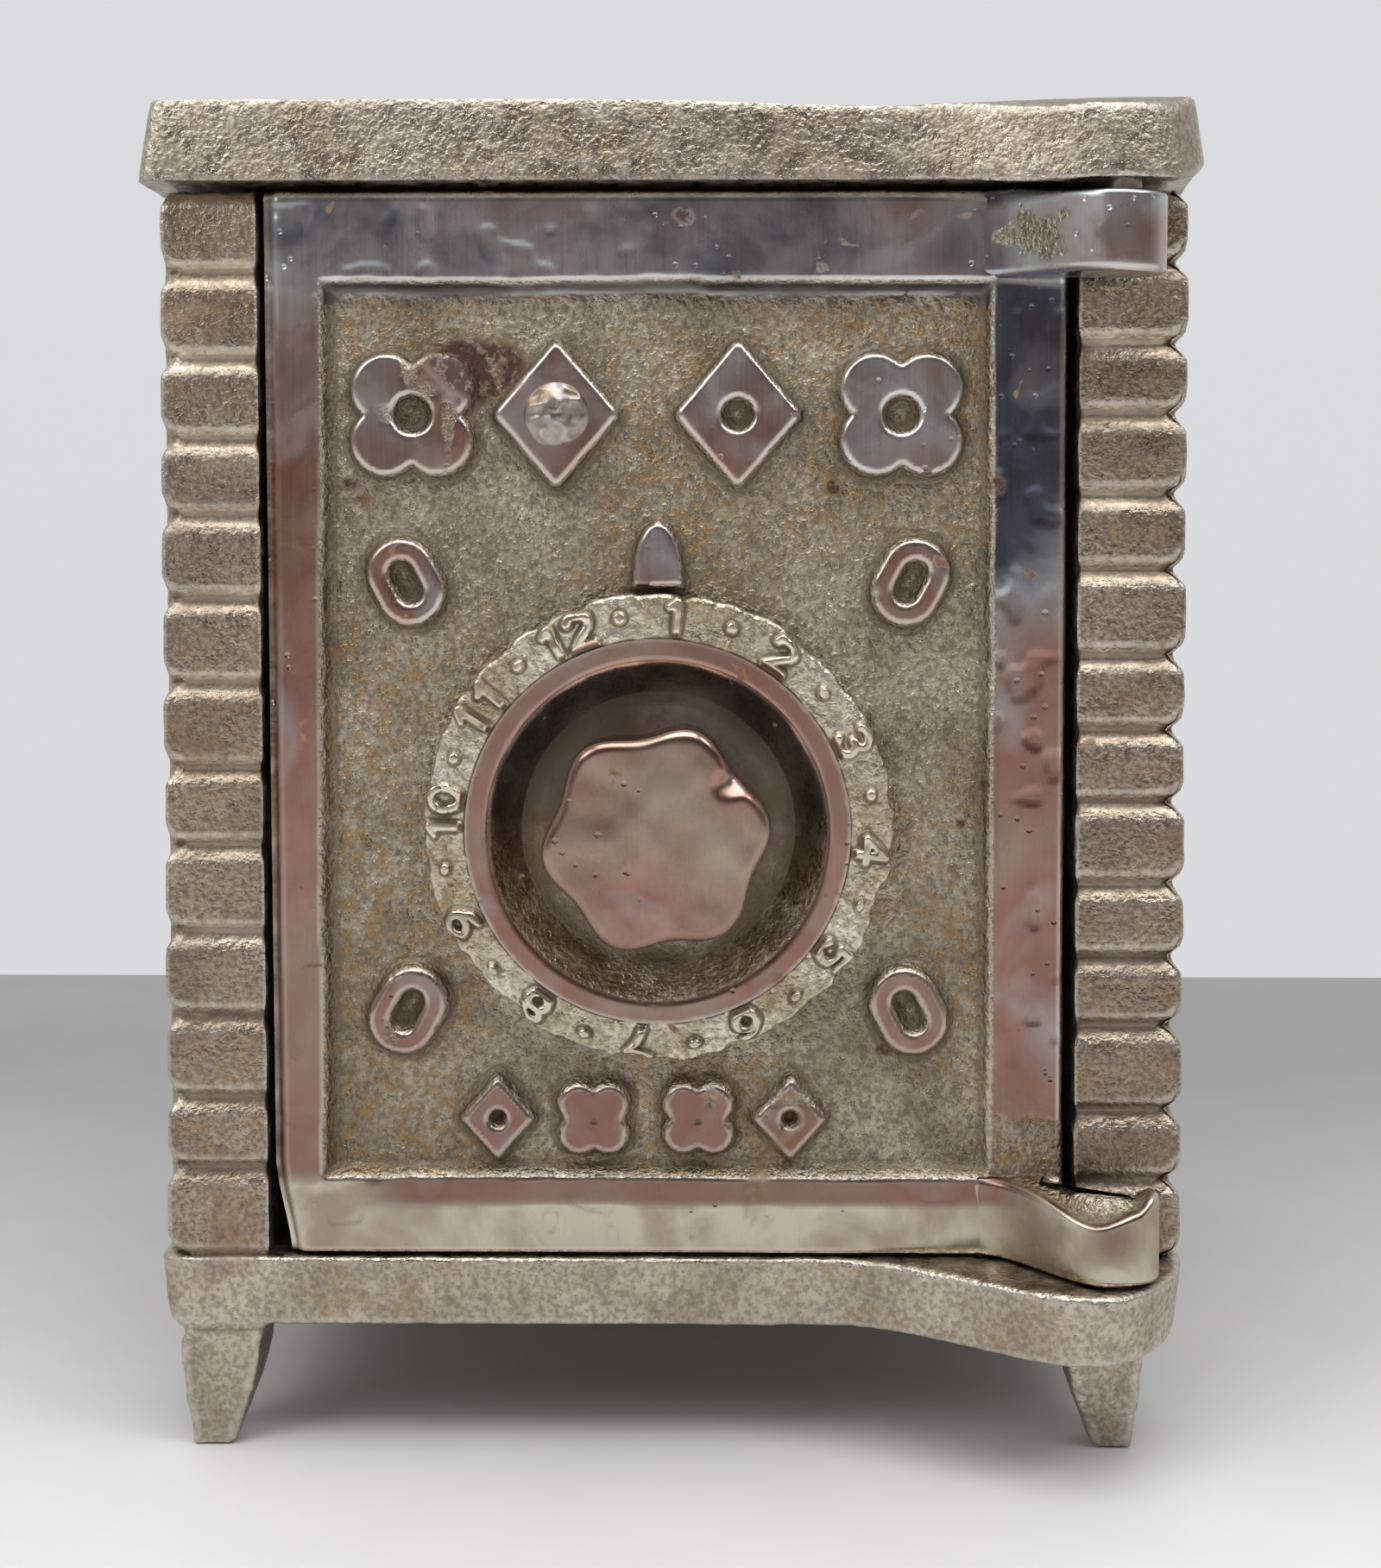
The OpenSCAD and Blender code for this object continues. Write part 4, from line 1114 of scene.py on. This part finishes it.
def rivet_skin():
    """Rivet with a hammered, lopsided head in front and a spread tail behind."""
    skin = Skin()
    columns = 72
    a = circle(columns)
    t = np.linspace(0.02, 1, 18)[:, None]
    head_r = 2.5 * (1 - 0.06 * (0.5 + 0.5 * noise(flat_points(3 * np.cos(a), 3 * np.sin(a)), 1.6, 91)))
    r = head_r * np.sin(t * np.pi / 2)
    dome = RIVET_LOW[1] + 0.12 + (1.0 * (1 - np.cos(t * np.pi / 2)) + 0 * a)
    places = round_points(r, a, dome)
    dents = 0.45 * np.abs(noise(places, 1.3, 92)) + 0.16 * np.abs(noise(places, 0.7, 93))
    dome = np.minimum(dome + dents * (1 - t**4), DOOR_FRONT + 0.02)
    front = round_points(r, a, dome, RIVET_X, RIVET_Z)
    rear = revolve([(2.3, DOOR_FRONT + 0.35), (1.5, DOOR_FRONT + 0.5), (1.5, DOOR_BACK + 0.62),
                    (2.2, DOOR_BACK + 0.64), (2.15, DOOR_BACK + 1.1), (1.8, DOOR_BACK + 1.45),
                    (1.2, RIVET_HIGH[1])], columns, RIVET_X, RIVET_Z)
    skin.loft(np.concatenate([front, rear]), 0.8, 0.1)
    return skin.build("rivet_skin", "door", ["door_rivet"], PLAIN_STEEL, sharp=70)


side_wall("left_wall", -1, LEFT_COLUMN_W, courses=13, shoulder=1.3, depth=0.5,
          panel_out=0.45, quoin_d=2.0, side_in=0.55, seed=21)
side_wall("right_wall", 1, RIGHT_COLUMN_W, courses=14, shoulder=1.35, depth=0.6,
          panel_out=0.3, quoin_d=6.0, side_in=-0.15, seed=31)
recast("top_plate", "case", CASE_METAL, 0.4, smooth=2, shape=shape_top, rough=0.55, seed=3)
recast("base_plate", "case", CASE_METAL, 0.4, smooth=3, shape=shape_base, rough=0.8, seed=5)
recast("back_wall", "case", CASE_METAL, 0.5, smooth=2, seed=7)
door_skin()
dial_skin()
rivet_skin()
recast("lock_disc", "dial", LOCK_IRON, 0.3, smooth=2, rough=0.6, seed=9)
recast("click_spring", "door", SPRING_STEEL, 0.1, smooth=1, rough=0.0)
for node, body, voxel, smooth, shape in (
    ("dial_washer", "dial", 0.10, 1, None),
    ("spindle_nut", "dial", 0.12, 2, None),
    ("tie_screw_left", "case", 0.25, 1, None),
    ("tie_screw_right", "case", 0.25, 1, None),
    ("upper_hinge_pin", "door", 0.12, 1, None),
    ("lower_hinge_pin", "door", 0.12, 1, shape_lower_pin),
):
    recast(node, body, PLAIN_STEEL, voxel, smooth, shape, rough=0.1)


# -------------------- floor, light and camera
def add_floor():
    """A pale table top whose far edge is a little way behind the bank; its colour darkens towards the far
    edge as painted shade.
    """
    left, right, near, far = -1.5, 1.5, -2.0, 0.139
    mesh = bpy.data.meshes.new("floor")
    mesh.from_pydata([(left, near, 0), (right, near, 0), (right, far, 0), (left, far, 0)], [], [(0, 1, 2, 3)])
    floor = link("floor", mesh)
    floor.location.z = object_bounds()[0].z - 0.0001
    g = Graph(bpy.data.materials.new("floor_paint_and_painted_shade"))
    along = g.node("ShaderNodeSeparateXYZ", {0: g.place}).outputs[1]
    # Painted shade: the floor's colour darkens from 0.90 at 10 cm in front of the bank to 0.33 at 10 cm
    # behind it.
    far_shaded_paint = g.mix(g.span(along, -0.10, 0.10), (0.90, 0.90, 0.90), (0.33, 0.33, 0.32))
    g.put(g.shader.inputs["Base Color"], g.mix(g.noise(6, 6), g.mix(0.12, far_shaded_paint, (0.1, 0.1, 0.1)), far_shaded_paint))
    g.put(g.shader.inputs["Roughness"], g.span(g.noise(20, 3), 0.3, 0.7, 0.55, 0.7))
    mesh.materials.append(g.owner)


def add_light(name, place, target, size, power, colour=(1, 1, 1)):
    """A soft square lamp; place, target and size in metres."""
    data = bpy.data.lights.new(name, "AREA")
    data.size = size
    data.energy = power
    data.color = colour
    lamp = link(name, data)
    lamp.location = place
    lamp.rotation_euler = (Vector(target) - Vector(place)).to_track_quat("-Z", "Y").to_euler()
    lamp.visible_camera = False


def add_world():
    """A pale wall behind the bank and a dim room in front of it, by direction."""
    world = bpy.data.worlds.new("studio")
    bpy.context.scene.world = world
    g = Graph(world, "Generated")
    _, forward, up = g.node("ShaderNodeSeparateXYZ", {0: g.place}).outputs

    def by_direction(part, *stops):
        return g.ramp(g.maths("ADD", g.times(part, 0.5), 0.5), *stops)

    room = by_direction(up, (0.50, (0.24, 0.20, 0.19)), (0.58, (0.25, 0.18, 0.165)),
                        (0.70, (0.06, 0.065, 0.08)), (0.85, (0.25, 0.26, 0.28)), (1.0, (0.75, 0.76, 0.78)))
    wall = by_direction(up, (0.5, (0.70, 0.71, 0.72)), (1.0, (0.72, 0.73, 0.74)))
    facing = by_direction(forward, (0.25, (0, 0, 0)), (0.58, (1, 1, 1)))
    g.put(g.tree.nodes["Background"].inputs["Color"], g.mix(facing, room, wall))


def add_camera():
    """A close viewpoint, just right of the middle and above half height."""
    right, distance, height = 3.0, 150.0, 68.75
    down, turn = 2.02, 0.6  # degrees
    data = bpy.data.cameras.new("camera")
    data.sensor_fit = "AUTO"
    data.sensor_width = 36.0
    data.lens = 46.67
    data.shift_y = -0.110
    data.clip_start = 0.01
    camera = link("camera", data)
    camera.location = (right * MM, (FRONT - distance) * MM, height * MM)
    camera.rotation_euler = (math.radians(90 - down), 0, math.radians(turn))
    bpy.context.scene.camera = camera


add_floor()
add_world()
add_light("overhead", (0.0, -0.20, 0.60), (0, 0, 0.05), 0.42, 2.0)
add_light("window", (-0.38, -0.34, 0.42), (0, 0, 0.06), 0.26, 0.9)
add_light("lamp", (0.35, -0.25, 0.50), (0, 0, 0.06), 0.16, 0.6)
bpy.context.scene.view_settings.view_transform = "Standard"
add_camera()
